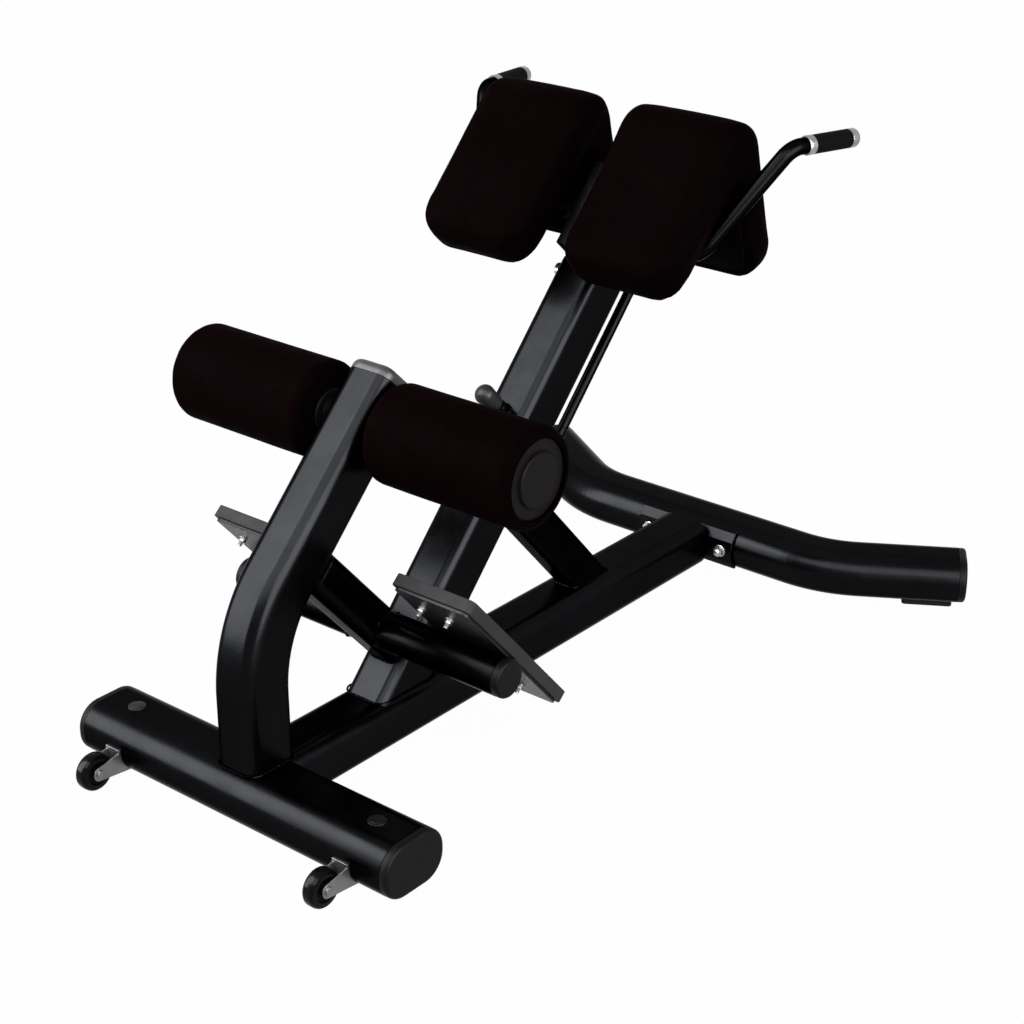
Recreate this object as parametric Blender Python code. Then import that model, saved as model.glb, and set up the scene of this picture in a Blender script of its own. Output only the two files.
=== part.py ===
# Hyperextension bench, 45 degrees: a floor frame with a front post that carries two foam
# rollers, two foot plates, and a slanting post on which the hip pads and handles slide.
# Metres, +Z up. X runs across the bench, +Y from the front foot to the rear foot.
# Heights are above the floor, and Y is counted from the front foot until the last step,
# which puts the origin under the middle of the whole bench.
# On the slanting post, s is the way up along the post from the floor and n is the height
# off its centre line, towards the front and up. Its empty has local Z along s and -Y along n.

import math
from types import SimpleNamespace

import bmesh
import bpy
from mathutils import Matrix, Vector

# Clearances
GAP = 0.0003          # between pieces that touch
RUN_FIT = 0.0006      # round a shaft that turns or slides
HOLE_FIT = 0.0008     # round a bolt in its hole
SLIDE_FIT = 0.0007    # on each side of the sliding tube in its guide

# Tubes of the frame: width is across the tube, height is the other way
WALL = 0.003
FOOT_WIDTH = 0.117
FOOT_HEIGHT = 0.082
FOOT_CORNER = 0.0375
SPINE_WIDTH = 0.092
SPINE_HEIGHT = 0.082
SPINE_CORNER = 0.023
UPRIGHT_WIDTH = 0.0755
UPRIGHT_DEPTH = 0.089
UPRIGHT_CORNER = 0.020
POST_WIDTH = 0.078
POST_DEPTH = 0.090
POST_CORNER = 0.0175
STRUT_WIDTH = 0.044
STRUT_DEPTH = 0.068
STRUT_CORNER = 0.010
ARM_WIDTH = 0.066
ARM_DEPTH = 0.063
ARM_CORNER = 0.020

# Feet
PAD_HEIGHT = 0.011            # rubber pads under the feet
FRONT_FOOT_LENGTH = 0.589     # without its end caps
REAR_FOOT_WIDTH = 0.108
REAR_FOOT_HEIGHT = 0.079
REAR_FOOT_Y = 1.111
REAR_STRAIGHT = 0.192         # half of the rear foot's straight middle
REAR_BEND = 0.204
REAR_SWEEP = math.radians(31.8)
REAR_LEG = 0.1655
SPINE_Z = 0.054               # height of the spine's centre line
CAP_DOME = 0.0135
CAP_SPIGOT = 0.022
CAP_FIT = 0.0004
RUBBER_LENGTH = 0.084
RUBBER_WIDTH = 0.038
RUBBER_CORNER = 0.006
RUBBER_BEVEL = 0.002
RUBBER_INSET = 0.048          # from the end of the foot's tube to the pad's middle
PLUG_INSET = 0.0545           # from the end of the front foot's tube
PLUG_RADIUS = 0.0135
PLUG_NECK = 0.0115
PLUG_HEAD = 0.003

# Front upright, bent from vertical to its lean
UPRIGHT_Y = 0.0092
UPRIGHT_KNEE_Z = 0.290        # where the two straight centre lines would meet
UPRIGHT_LEAN = math.radians(45.54)
UPRIGHT_BEND = 0.225
UPRIGHT_PAST_AXLE = 0.060     # length of tube above the roller axle
UPRIGHT_DOME = 0.018

# Rollers
AXLE_RADIUS = 0.0125
ROLLER_RADIUS = 0.0733
ROLLER_INNER_X = 0.061
ROLLER_OUTER_X = 0.319
ROLLER_EDGE = 0.0145
ROLLER_ABOVE_KNEE = 0.3365    # from the upright's knee to the axle, along the upright
DISC_RADIUS = 0.0572
DISC_THICKNESS = 0.004
DISC_RING = 0.039             # groove in the disc's face
DISC_SPIGOT = 0.010
DISC_POCKET = 0.0095          # hollow in the roller's outer end
COLLAR_RADIUS = 0.020
FLANGE_RADIUS = 0.034
FLANGE_THICKNESS = 0.004

# Slanting post and what slides in it
POST_Y = 0.2002               # its centre line at the floor
POST_ANGLE = math.radians(46.96)
POST_TOP_S = 0.836
GUIDE_LENGTH = 0.050
GUIDE_LIP = 0.003
SLIDE_WALL = 0.003
GUIDE_WALL = 0.0025
SLIDE_BOTTOM_S = 0.455
SLIDE_TOP_S = 0.981
GUIDE_BOLT_S = POST_TOP_S - 0.014
GUIDE_BOLT_N = 0.024
GUIDE_BOLT_RADIUS = 0.005
GUIDE_BOLT_HEAD = 0.0075
GUIDE_BOLT_PROUD = 0.009

# Lock pin on the post's front face
LOCK_S = 0.570
LOCK_RADIUS = 0.006
BARREL_RADIUS = 0.013
BARREL_LENGTH = 0.022
KNOB_RADIUS = 0.0158
KNOB_LENGTH = 0.046
KNOB_TOP_N = POST_DEPTH / 2 + 0.075
KNOB_BORE = 0.030

# Gas spring behind the post
SPRING_N = -(POST_DEPTH / 2 + 0.0645)
SPRING_RADIUS = 0.0085
SPRING_ROD_RADIUS = 0.004
SPRING_BORE = 0.0052
SPRING_BOTTOM_S = 0.601
SPRING_ROD_TOP_S = 0.752
SPRING_BORE_END = 0.014       # solid end above the bore
SPRING_LUG_S = SLIDE_TOP_S - 0.035      # the slide's lug, lower face
POST_LUG_ABOVE_STRUT = 0.038  # from the strut's centre line to the post's lug, along the post
LUG_THICKNESS = 0.006
LUG_WIDTH = 0.036
LUG_MARGIN = 0.014            # from the spring's axis to the lug's edge
STUD_RADIUS = 0.004
NUT_HEIGHT = 0.006
NUT_RADIUS = 0.0075

# Hip pads: a wedge of two lobes over the apex
PAD_WIDTH = 0.205
PAD_INNER_X = 0.0355
PAD_BACK_N = POST_DEPTH / 2 + 0.0508
PAD_FRONT_THICK = 0.068
PAD_REAR_THICK = 0.0565
PAD_ANGLE = math.radians(57.5)
PAD_APEX_S = SLIDE_TOP_S + 0.0346       # where the two back faces would meet
PAD_FRONT_LENGTH = 0.235      # back face of the front lobe, from there down
PAD_REAR_LENGTH = 0.195
PAD_INNER_BEND = 0.012
PAD_OUTER_BEND = 0.051
PAD_CROWN = 0.0015
PAD_DRAW_IN = 0.003           # on each side at the back
PAD_ROUND = 0.012             # rounding along the face's edges
PAD_CORNER = 0.044            # rounding of the pads' free corners
PAD_EDGE = 0.028              # rounding of their free edges
PAD_EDGE_DROP = 0.45          # how much thinner they end
SHEET_THICK = 0.004
SHEET_INSET = 0.018           # from the pad's edge to the sheet's edge
CARRIER_WIDTH = 0.034
CARRIER_BOTTOM_S = SLIDE_TOP_S - 0.1445
CARRIER_N = POST_DEPTH / 2 + 0.006      # its rear face
CARRIER_TAIL_S = SLIDE_TOP_S - 0.040    # where it reaches back to the sliding tube
GUSSET_X = 0.125
GUSSET_THICK = 0.005
GUSSET_REACH = 0.150          # along the rear lobe
GUSSET_DROP = 0.045
SPREADER_S = SLIDE_TOP_S - 0.076
SPREADER_THICK = 0.006
LID_THICK = 0.005

# Handle bar, one tube from grip to grip
BAR_RADIUS = 0.0127
BAR_WALL = 0.002
BAR_SIDES = 12                # flats round the bar's mesh
BAR_S = SLIDE_TOP_S - 0.104
BAR_N = CARRIER_N + 0.015
BAR_ELBOW_X = 0.2107
BAR_RISE = (0.0825, 0.1907, 0.0257)       # x, s and n from the elbow to where it turns again
GRIP_RUN = (0.0223, 0.0752, -0.0894)      # and from there to its end
BAR_ELBOW_BEND = 0.045
BAR_TOP_BEND = 0.035
GRIP_THICK = 0.0012
GRIP_LENGTH = 0.078
RING_LENGTH = 0.013
RING_THICK = 0.0018
PLUG_SPIGOT = 0.012
PLUG_LENGTH = 0.0165

# Foot plates
FOOTBAR_Y = 0.2544
FOOTBAR_Z = 0.2063
FOOTBAR_RADIUS = 0.0293
FOOTBAR_END_X = 0.2475
PLATE_INNER_X = 0.107
PLATE_WIDTH = 0.143
PLATE_LENGTH = 0.311
PLATE_FORWARD = 0.149         # from the bar's axis to the front edge, along the plate
PLATE_THICK = 0.0045
TREAD_THICK = 0.0160
TREAD_BEVEL = 0.0015
PLATE_MARGIN = 0.005          # the steel plate is this much smaller all round
PLATE_CORNER = 0.010
TREAD_BOLT_RADIUS = 0.004
TREAD_BOLT_DEPTH = 0.010      # into the tread
TREAD_BOLT_PROUD = 0.013      # below the steel plate
TREAD_NUT_RADIUS = 0.0065
TREAD_NUT_HEIGHT = 0.006
TREAD_BOLT_SPOTS = ((0.031, 0.053), (0.079, 0.058))   # from a plate's left and front edges

# Arm from the upright over the foot bar to the slanting post
ARM_ANGLE = math.radians(48.5)

# Strut from the post down to the spine
STRUT_ANGLE = math.radians(48.0)
STRUT_FOOT_Y = 0.754          # where its centre line meets the spine's top

# Saddle on the rear end of the spine
SADDLE_HALF = 0.098
SADDLE_THICK = 0.006
SADDLE_BOLT_X = 0.076
SADDLE_WRAP = 0.013           # how far it reaches over the rear foot's top
SADDLE_LOW_Z = 0.018
SADDLE_BOLT_RADIUS = 0.005
SADDLE_NUT_RADIUS = 0.0085
SADDLE_NUT_HEIGHT = 0.009

# Transport wheels
WHEEL_X = FRONT_FOOT_LENGTH / 2 - 0.0666
WHEEL_Z = 0.0337
WHEEL_REACH = 0.0398          # from the foot's front face to the wheel's axis
CHEEK_ROOT = 0.0285           # how far the cheeks reach back under the foot
BACK_REACH = 0.004            # of the plate between the cheeks, from the foot's front face
WHEEL_RADIUS = 0.0285
WHEEL_WIDTH = 0.020
CHEEK_THICK = 0.0025
CHEEK_CLEAR = 0.0015
CHEEK_BOSS = 0.011
CHEEK_TOP = 0.056
CHEEK_BOTTOM = 0.015
WHEEL_BACK_Z = 0.036          # lower edge of the plate between the cheeks
WHEEL_HUB = 0.009
WHEEL_RIM = 0.019
WHEEL_DISH = 0.003
WHEEL_PIN_RADIUS = 0.004
RIVET_RADIUS = 0.0065
RIVET_HEIGHT = 0.0025


def reach(start, direction, line_point, line_direction):
    """How far along a direction in the (y, z) plane another line is met."""
    apart = line_point - start
    cross = direction.y * line_direction.z - direction.z * line_direction.y
    return (apart.y * line_direction.z - apart.z * line_direction.y) / cross


# Values worked out from the ones above
FOOT_Z = PAD_HEIGHT + FOOT_HEIGHT / 2
SPINE_TOP = SPINE_Z + SPINE_HEIGHT / 2
UPRIGHT_DIR = Vector((0, math.cos(UPRIGHT_LEAN), math.sin(UPRIGHT_LEAN)))
KNEE = Vector((0, UPRIGHT_Y, UPRIGHT_KNEE_Z))
AXLE = KNEE + UPRIGHT_DIR * ROLLER_ABOVE_KNEE
POST_DIR = Vector((0, math.cos(POST_ANGLE), math.sin(POST_ANGLE)))
FOOTBAR = Vector((0, FOOTBAR_Y, FOOTBAR_Z))
ARM_DIR = Vector((0, math.cos(ARM_ANGLE), -math.sin(ARM_ANGLE)))
STRUT_DIR = Vector((0, math.cos(STRUT_ANGLE), -math.sin(STRUT_ANGLE)))
POST_FOOT = Vector((0, POST_Y, 0))
STRUT_FOOT = Vector((0, STRUT_FOOT_Y, SPINE_TOP))
ARM_TO_UPRIGHT = reach(FOOTBAR, -ARM_DIR, KNEE, UPRIGHT_DIR)
ARM_TO_POST = reach(FOOTBAR, ARM_DIR, POST_FOOT, POST_DIR)
STRUT_LENGTH = reach(STRUT_FOOT, -STRUT_DIR, POST_FOOT, POST_DIR)
POST_LUG_S = reach(POST_FOOT, POST_DIR, STRUT_FOOT, STRUT_DIR) + POST_LUG_ABOVE_STRUT
WHEEL_Y = -FOOT_WIDTH / 2 - WHEEL_REACH
GUIDE_OUTER_W = POST_WIDTH - 2 * WALL - 2 * GAP
GUIDE_OUTER_D = POST_DEPTH - 2 * WALL - 2 * GAP
SLIDE_WIDTH = GUIDE_OUTER_W - 2 * GUIDE_WALL - 2 * SLIDE_FIT
SLIDE_DEPTH = GUIDE_OUTER_D - 2 * GUIDE_WALL - 2 * SLIDE_FIT
SLIDE_CORNER = POST_CORNER - WALL - GUIDE_WALL
SIDES = (("left", -1), ("right", 1))


# Materials

def material(name, colour, roughness, metallic=0.0):
    made = bpy.data.materials.new(name)
    made.use_nodes = True
    shader = made.node_tree.nodes["Principled BSDF"]
    shader.inputs["Base Color"].default_value = (*colour, 1.0)
    shader.inputs["Roughness"].default_value = roughness
    shader.inputs["Metallic"].default_value = metallic
    return made


# Outlines and solids

def oval(width, height, corner, steps=4):
    """Points of a rectangle with round corners, counter-clockwise."""
    corner = min(corner, width / 2 - 0.0002, height / 2 - 0.0002)
    points = []
    for quarter, (sx, sy) in enumerate(((1, 1), (-1, 1), (-1, -1), (1, -1))):
        for step in range(steps + 1):
            angle = math.radians(90 * (quarter + step / steps))
            points.append((sx * (width / 2 - corner) + corner * math.cos(angle),
                           sy * (height / 2 - corner) + corner * math.sin(angle)))
    return points


def circle(radius, steps=20):
    return [(radius * math.cos(2 * math.pi * i / steps), radius * math.sin(2 * math.pi * i / steps))
            for i in range(steps)]


def hexagon(across, steps=12):
    """A hexagon with a point at each corner and in the middle of each side."""
    reaches = (across / 2 / math.cos(math.pi / 6), across / 2)
    return [(reaches[i % 2] * math.cos(2 * math.pi * i / steps),
             reaches[i % 2] * math.sin(2 * math.pi * i / steps)) for i in range(steps)]


def make(name, mesh_bm, look, parent, place=None):
    """Turns a bmesh into a named object under its parent."""
    bmesh.ops.recalc_face_normals(mesh_bm, faces=mesh_bm.faces)
    mesh = bpy.data.meshes.new(name)
    mesh_bm.to_mesh(mesh)
    mesh_bm.free()
    mesh.shade_smooth()
    mesh.set_sharp_from_angle(angle=math.radians(35))
    made = bpy.data.objects.new(name, mesh)
    bpy.context.collection.objects.link(made)
    if look is not None:
        mesh.materials.append(look)
    made.parent = parent
    if place is not None:
        made.matrix_local = place
    return made


def helper(name, mesh_bm, parent, place=None):
    """A solid that only cuts or joins others."""
    made = make(name, mesh_bm, None, parent, place)
    made.hide_render = True
    made.display_type = "WIRE"
    return made


def boolean(target, tool, operation="DIFFERENCE"):
    change = target.modifiers.new(tool.name, "BOOLEAN")
    change.operation = operation
    change.solver = "EXACT"
    change.object = tool


def add_rings(mesh_bm, rings, close_ends=True, close_loop=False):
    """Joins rings of points one after another into a skin."""
    made = [[mesh_bm.verts.new(p) for p in ring] for ring in rings]
    pairs = list(zip(made, made[1:]))
    if close_loop:
        pairs.append((made[-1], made[0]))
    for low, high in pairs:
        for i in range(len(low)):
            j = (i + 1) % len(low)
            mesh_bm.faces.new((low[i], low[j], high[j], high[i]))
    if close_ends and not close_loop:
        mesh_bm.faces.new(list(reversed(made[0])))
        mesh_bm.faces.new(made[-1])


def frames_of(path):
    """A pair of cross directions for each point of a path of (point, direction) pairs."""
    first = path[0][1]
    across = Vector((1, 0, 0))
    if abs(first.x) > 0.9:
        across = Vector((0, 1, 0))
    frames = []
    for point, direction in path:
        across = (across - direction * across.dot(direction)).normalized()
        frames.append((point, across, direction.cross(across)))
    return frames


def ring_at(frame, outline):
    point, across, up = frame
    return [point + across * u + up * v for u, v in outline]


def solid_along(path, outline):
    body = bmesh.new()
    add_rings(body, [ring_at(f, outline) for f in frames_of(path)])
    return body


def tube_along(path, outer, inner):
    """A hollow tube, open at both ends."""
    body = bmesh.new()
    frames = frames_of(path)
    outside = [ring_at(f, outer) for f in frames]
    inside = [ring_at(f, inner) for f in reversed(frames)]
    add_rings(body, outside + inside, close_loop=True)
    return body


def straight(start, end):
    direction = (end - start).normalized()
    return [(start, direction), (end, direction)]


def rounded_path(points, bends, steps):
    """A path of straight runs with an arc of the given radius at each inner point."""
    path = [(points[0], (points[1] - points[0]).normalized())]
    for before, corner, after, radius in zip(points, points[1:], points[2:], bends):
        way_in = (corner - before).normalized()
        way_out = (after - corner).normalized()
        turn = way_in.angle(way_out)
        start = corner - way_in * radius * math.tan(turn / 2)
        side = (way_out - way_in * way_out.dot(way_in)).normalized()
        for step in range(steps + 1):
            angle = turn * step / steps
            point = start + way_in * radius * math.sin(angle) + side * radius * (1 - math.cos(angle))
            path.append((point, way_in * math.cos(angle) + side * math.sin(angle)))
    path.append((points[-1], (points[-1] - points[-2]).normalized()))
    return path


def stack(levels, close_loop=False):
    """A solid along +Z made of (height, outline) levels."""
    body = bmesh.new()
    add_rings(body, [[Vector((u, v, z)) for u, v in outline] for z, outline in levels],
              close_loop=close_loop)
    return body


def turned(profile, steps=20, close_loop=False):
    """A solid turned about Z from (radius, height) points."""
    return stack([(z, circle(r, steps)) for r, z in profile], close_loop)


def box(low, high):
    body = bmesh.new()
    corners = [Vector((x, y, z)) for z in (low[2], high[2])
               for x, y in ((low[0], low[1]), (high[0], low[1]), (high[0], high[1]), (low[0], high[1]))]
    add_rings(body, [corners[:4], corners[4:]])
    return body


def sheet(outline, x_from, x_to):
    """An outline in the (y, z) plane, given thickness along X."""
    body = bmesh.new()
    add_rings(body, [[Vector((x, y, z)) for y, z in outline] for x in (x_from, x_to)])
    return body


def along_x(x=0.0, y=0.0, z=0.0, sign=1):
    """Places a piece made along +Z so that it runs along +X or -X."""
    return Matrix.Translation((x, y, z)) @ Matrix.Rotation(sign * math.pi / 2, 4, "Y")


def towards(point, direction):
    """Places a piece made along +Z at a point, along a direction."""
    turn = Vector((0, 0, 1)).rotation_difference(direction)
    return Matrix.Translation(point) @ turn.to_matrix().to_4x4()


def tube_outlines(width, height, corner):
    return (oval(width, height, corner),
            oval(width - 2 * WALL, height - 2 * WALL, corner - WALL))


def grown(width, height, corner, by=GAP):
    return oval(width + 2 * by, height + 2 * by, corner + by)


def end_cap(width, height, corner, dome=CAP_DOME):
    """A plastic cap: a spigot for the tube, a lip on its end and a shallow dome."""
    def inset(by):
        return oval(width - 2 * by, height - 2 * by, max(corner - by, 0.002))
    fit = WALL + CAP_FIT
    return stack([(-CAP_SPIGOT, inset(fit)), (GAP, inset(fit)), (GAP, inset(0)),
                  (dome * 0.45, inset(0.0004)), (dome * 0.70, inset(0.0025)),
                  (dome * 0.87, inset(0.008)), (dome, inset(0.022))])


# Placing

def post_point(s, n, x=0.0):
    """A point given by its way up the slanting post and its height off it, in the post's own axes."""
    return Vector((x, -n, s))


def frame_at(point, direction):
    """Places a piece made along +Z at a point, with its X kept across the bench."""
    across = Vector((1, 0, 0))
    turn = Matrix((across, direction.cross(across), direction)).transposed()
    return Matrix.Translation(point) @ turn.to_4x4()


def level_frame_at(point, direction):
    """Places a piece made along +Z on the end of a level tube, with its X upright."""
    up = Vector((0, 0, 1))
    turn = Matrix((up, direction.cross(up), direction)).transposed()
    return Matrix.Translation(point) @ turn.to_4x4()


def empty(name, parent, location=(0, 0, 0), tilt=0.0):
    made = bpy.data.objects.new(name, None)
    bpy.context.collection.objects.link(made)
    made.parent = parent
    made.location = location
    made.rotation_euler = (tilt, 0, 0)
    return made


# Feet of the frame

def front_foot(kit):
    half = FRONT_FOOT_LENGTH / 2
    outer, inner = tube_outlines(FOOT_WIDTH, FOOT_HEIGHT, FOOT_CORNER)
    line = straight(Vector((-half, 0, FOOT_Z)), Vector((half, 0, FOOT_Z)))
    tube = make("front_foot_tube", tube_along(line, outer, inner), kit.steel, kit.root)
    kit.foot_tool = helper("front_foot_tool", solid_along(
        line, grown(FOOT_WIDTH, FOOT_HEIGHT, FOOT_CORNER)), kit.root)
    for side, sign in SIDES:
        make(f"front_foot_cap_{side}", end_cap(FOOT_HEIGHT, FOOT_WIDTH, FOOT_CORNER),
             kit.plastic, kit.root, level_frame_at(Vector((sign * half, 0, FOOT_Z)),
                                                   Vector((sign, 0, 0))))
        foot_plug(kit, tube, side, sign)
        rubber_pad(kit, f"front_rubber_{side}", Vector((sign * (half - RUBBER_INSET), 0, 0)), 0,
                   PAD_HEIGHT)


def foot_plug(kit, tube, side, sign):
    """A round plastic plug in a hole in the top of the foot."""
    x = sign * (FRONT_FOOT_LENGTH / 2 - PLUG_INSET)
    place = Matrix.Translation((x, 0, PAD_HEIGHT + FOOT_HEIGHT))
    hole_radius = PLUG_NECK + CAP_FIT
    hole = helper(f"plug_hole_{side}", turned([(hole_radius, -2 * WALL), (hole_radius, 2 * WALL)],
                                              16), kit.root, place)
    boolean(tube, hole)
    plug = turned([(PLUG_NECK, -2 * WALL), (PLUG_NECK, GAP), (PLUG_RADIUS, GAP),
                   (PLUG_RADIUS - PLUG_HEAD / 3, PLUG_HEAD * 0.7),
                   (PLUG_RADIUS - PLUG_HEAD, PLUG_HEAD)], 16)
    make(f"front_plug_{side}", plug, kit.plastic, kit.root, place)


def rubber_pad(kit, name, place, turn, thick):
    """A rubber pad under a foot, longest along the foot."""
    low = oval(RUBBER_LENGTH, RUBBER_WIDTH, RUBBER_CORNER, 3)
    high = oval(RUBBER_LENGTH - 2 * RUBBER_BEVEL, RUBBER_WIDTH - 2 * RUBBER_BEVEL,
                RUBBER_CORNER, 3)
    pad = stack([(0, low), (thick - RUBBER_BEVEL, low), (thick - GAP, high)])
    make(name, pad, kit.rubber, kit.root,
         Matrix.Translation(place) @ Matrix.Rotation(turn, 4, "Z"))


def rear_path():
    """The rear foot's centre line from its left end to its right end."""
    bend = REAR_BEND * math.tan(REAR_SWEEP / 2)
    swept = Vector((math.cos(REAR_SWEEP), math.sin(REAR_SWEEP), 0)) * (REAR_LEG + bend)
    corner = Vector((REAR_STRAIGHT + bend, REAR_FOOT_Y, FOOT_Z))
    right = [corner, corner + swept]
    left = [Vector((-p.x, p.y, p.z)) for p in reversed(right)]
    return rounded_path(left + right, (REAR_BEND, REAR_BEND), 5)


def rear_foot(kit):
    path = rear_path()
    outer, inner = tube_outlines(REAR_FOOT_WIDTH, REAR_FOOT_HEIGHT, FOOT_CORNER)
    kit.rear_tube = make("rear_foot_tube", tube_along(path, outer, inner), kit.steel, kit.root)
    ends = {"left": (path[0][0], -path[0][1]), "right": path[-1]}
    for side, (point, direction) in ends.items():
        make(f"rear_foot_cap_{side}", end_cap(REAR_FOOT_HEIGHT, REAR_FOOT_WIDTH, FOOT_CORNER),
             kit.plastic, kit.root, level_frame_at(point, direction))
        spot = point - direction * RUBBER_INSET
        rubber_pad(kit, f"rear_rubber_{side}", Vector((spot.x, spot.y, 0)),
                   math.atan2(direction.y, direction.x), FOOT_Z - REAR_FOOT_HEIGHT / 2)


def saddle(kit):
    """The plate that wraps the rear foot, with the two bolts that hold it."""
    ends = straight(Vector((-SADDLE_HALF, REAR_FOOT_Y, FOOT_Z)),
                    Vector((SADDLE_HALF, REAR_FOOT_Y, FOOT_Z)))
    outer = grown(REAR_FOOT_WIDTH, REAR_FOOT_HEIGHT, FOOT_CORNER, GAP + SADDLE_THICK)
    inner = grown(REAR_FOOT_WIDTH, REAR_FOOT_HEIGHT, FOOT_CORNER)
    plate = make("saddle_plate", tube_along(ends, outer, inner), kit.steel, kit.root)
    front = REAR_FOOT_Y - REAR_FOOT_WIDTH / 2
    far = REAR_FOOT_Y + REAR_FOOT_WIDTH
    reach = 2 * SADDLE_HALF
    boolean(plate, helper("saddle_rear_tool", box((-reach, front + SADDLE_WRAP, -reach),
                                                  (reach, far, reach)), kit.root))
    boolean(plate, helper("saddle_low_tool", box((-reach, front - reach, -reach),
                                                 (reach, far, SADDLE_LOW_Z)), kit.root))
    for side, sign in SIDES:
        place = frame_at(Vector((sign * SADDLE_BOLT_X, front, FOOT_Z)), Vector((0, -1, 0)))
        radius = SADDLE_BOLT_RADIUS + HOLE_FIT
        hole = helper(f"saddle_hole_{side}", turned([(radius, -4 * WALL), (radius, 4 * WALL)], 12),
                      kit.root, place)
        boolean(plate, hole)
        boolean(kit.rear_tube, hole)
        seat = SADDLE_THICK + 2 * GAP
        stud = bolt(SADDLE_BOLT_RADIUS, -3 * WALL, seat, SADDLE_NUT_RADIUS, SADDLE_NUT_HEIGHT)
        make(f"saddle_bolt_{side}", stud, kit.zinc, kit.root, place)


def bolt(radius, start, seat, nut_radius, nut_height, proud=0.004):
    """A threaded end with its nut on the seat, made along +Z."""
    return stack([(start, circle(radius, 12)), (seat, circle(radius, 12)),
                  (seat, hexagon(2 * nut_radius)), (seat + nut_height, hexagon(2 * nut_radius)),
                  (seat + nut_height, circle(radius, 12)),
                  (seat + nut_height + proud, circle(radius, 12))])


# Frame tubes

def spine(kit):
    outer, inner = tube_outlines(SPINE_WIDTH, SPINE_HEIGHT, SPINE_CORNER)
    line = straight(Vector((0, 0, SPINE_Z)), Vector((0, REAR_FOOT_Y, SPINE_Z)))
    tube = make("spine_tube", tube_along(line, outer, inner), kit.steel, kit.root)
    kit.spine_tool = helper("spine_tool", solid_along(
        line, grown(SPINE_WIDTH, SPINE_HEIGHT, SPINE_CORNER)), kit.root)
    ends = straight(Vector((-SPINE_WIDTH, REAR_FOOT_Y, FOOT_Z)),
                    Vector((SPINE_WIDTH, REAR_FOOT_Y, FOOT_Z)))
    saddle_tool = helper("saddle_tool", solid_along(ends, grown(
        REAR_FOOT_WIDTH, REAR_FOOT_HEIGHT, FOOT_CORNER, SADDLE_THICK + 2 * GAP)), kit.root)
    for tool in (kit.foot_tool, kit.upright_tool, saddle_tool):
        boolean(tube, tool)


def upright(kit):
    foot_point = Vector((0, UPRIGHT_Y, FOOT_Z))
    top = AXLE + UPRIGHT_DIR * UPRIGHT_PAST_AXLE
    path = rounded_path([foot_point, KNEE, top], (UPRIGHT_BEND,), 7)
    outer, inner = tube_outlines(UPRIGHT_WIDTH, UPRIGHT_DEPTH, UPRIGHT_CORNER)
    tube = make("upright_tube", tube_along(path, outer, inner), kit.steel, kit.root)
    boolean(tube, kit.foot_tool)
    radius = AXLE_RADIUS + HOLE_FIT
    boolean(tube, helper("axle_hole", turned([(radius, -UPRIGHT_WIDTH), (radius, UPRIGHT_WIDTH)]),
                         kit.root, along_x(0, AXLE.y, AXLE.z)))
    kit.upright_tool = helper("upright_tool", solid_along(
        path, grown(UPRIGHT_WIDTH, UPRIGHT_DEPTH, UPRIGHT_CORNER)), kit.root)
    make("upright_cap", end_cap(UPRIGHT_WIDTH, UPRIGHT_DEPTH, UPRIGHT_CORNER, UPRIGHT_DOME),
         kit.plastic, kit.root, frame_at(top, UPRIGHT_DIR))


def lug(kit, name, owner, s, from_n):
    """Joins a lug for the gas spring to a tube, with the hole for its stud."""
    half = LUG_WIDTH / 2
    plate = helper(f"{name}_tool", box((-half, -from_n, s), (half, LUG_MARGIN - SPRING_N,
                                                            s + LUG_THICKNESS)), owner.parent)
    boolean(owner, plate, "UNION")
    radius = STUD_RADIUS + HOLE_FIT
    hole = helper(f"{name}_hole", turned([(radius, s - LUG_THICKNESS), (radius, s + 2 * LUG_THICKNESS)],
                                         12), owner.parent, Matrix.Translation((0, -SPRING_N, 0)))
    boolean(owner, hole)


def post(kit):
    low = SPINE_Z / math.sin(POST_ANGLE)
    line = straight(post_point(low, 0), post_point(POST_TOP_S, 0))
    outer, inner = tube_outlines(POST_WIDTH, POST_DEPTH, POST_CORNER)
    tube = make("post_tube", tube_along(line, outer, inner), kit.steel, kit.post_axis)
    kit.post_tool = helper("post_tool", solid_along(
        line, grown(POST_WIDTH, POST_DEPTH, POST_CORNER)), kit.post_axis)
    boolean(tube, kit.spine_tool)
    lug(kit, "post_lug", tube, POST_LUG_S, -(POST_DEPTH - WALL) / 2)
    kit.post_tube = tube


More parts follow.
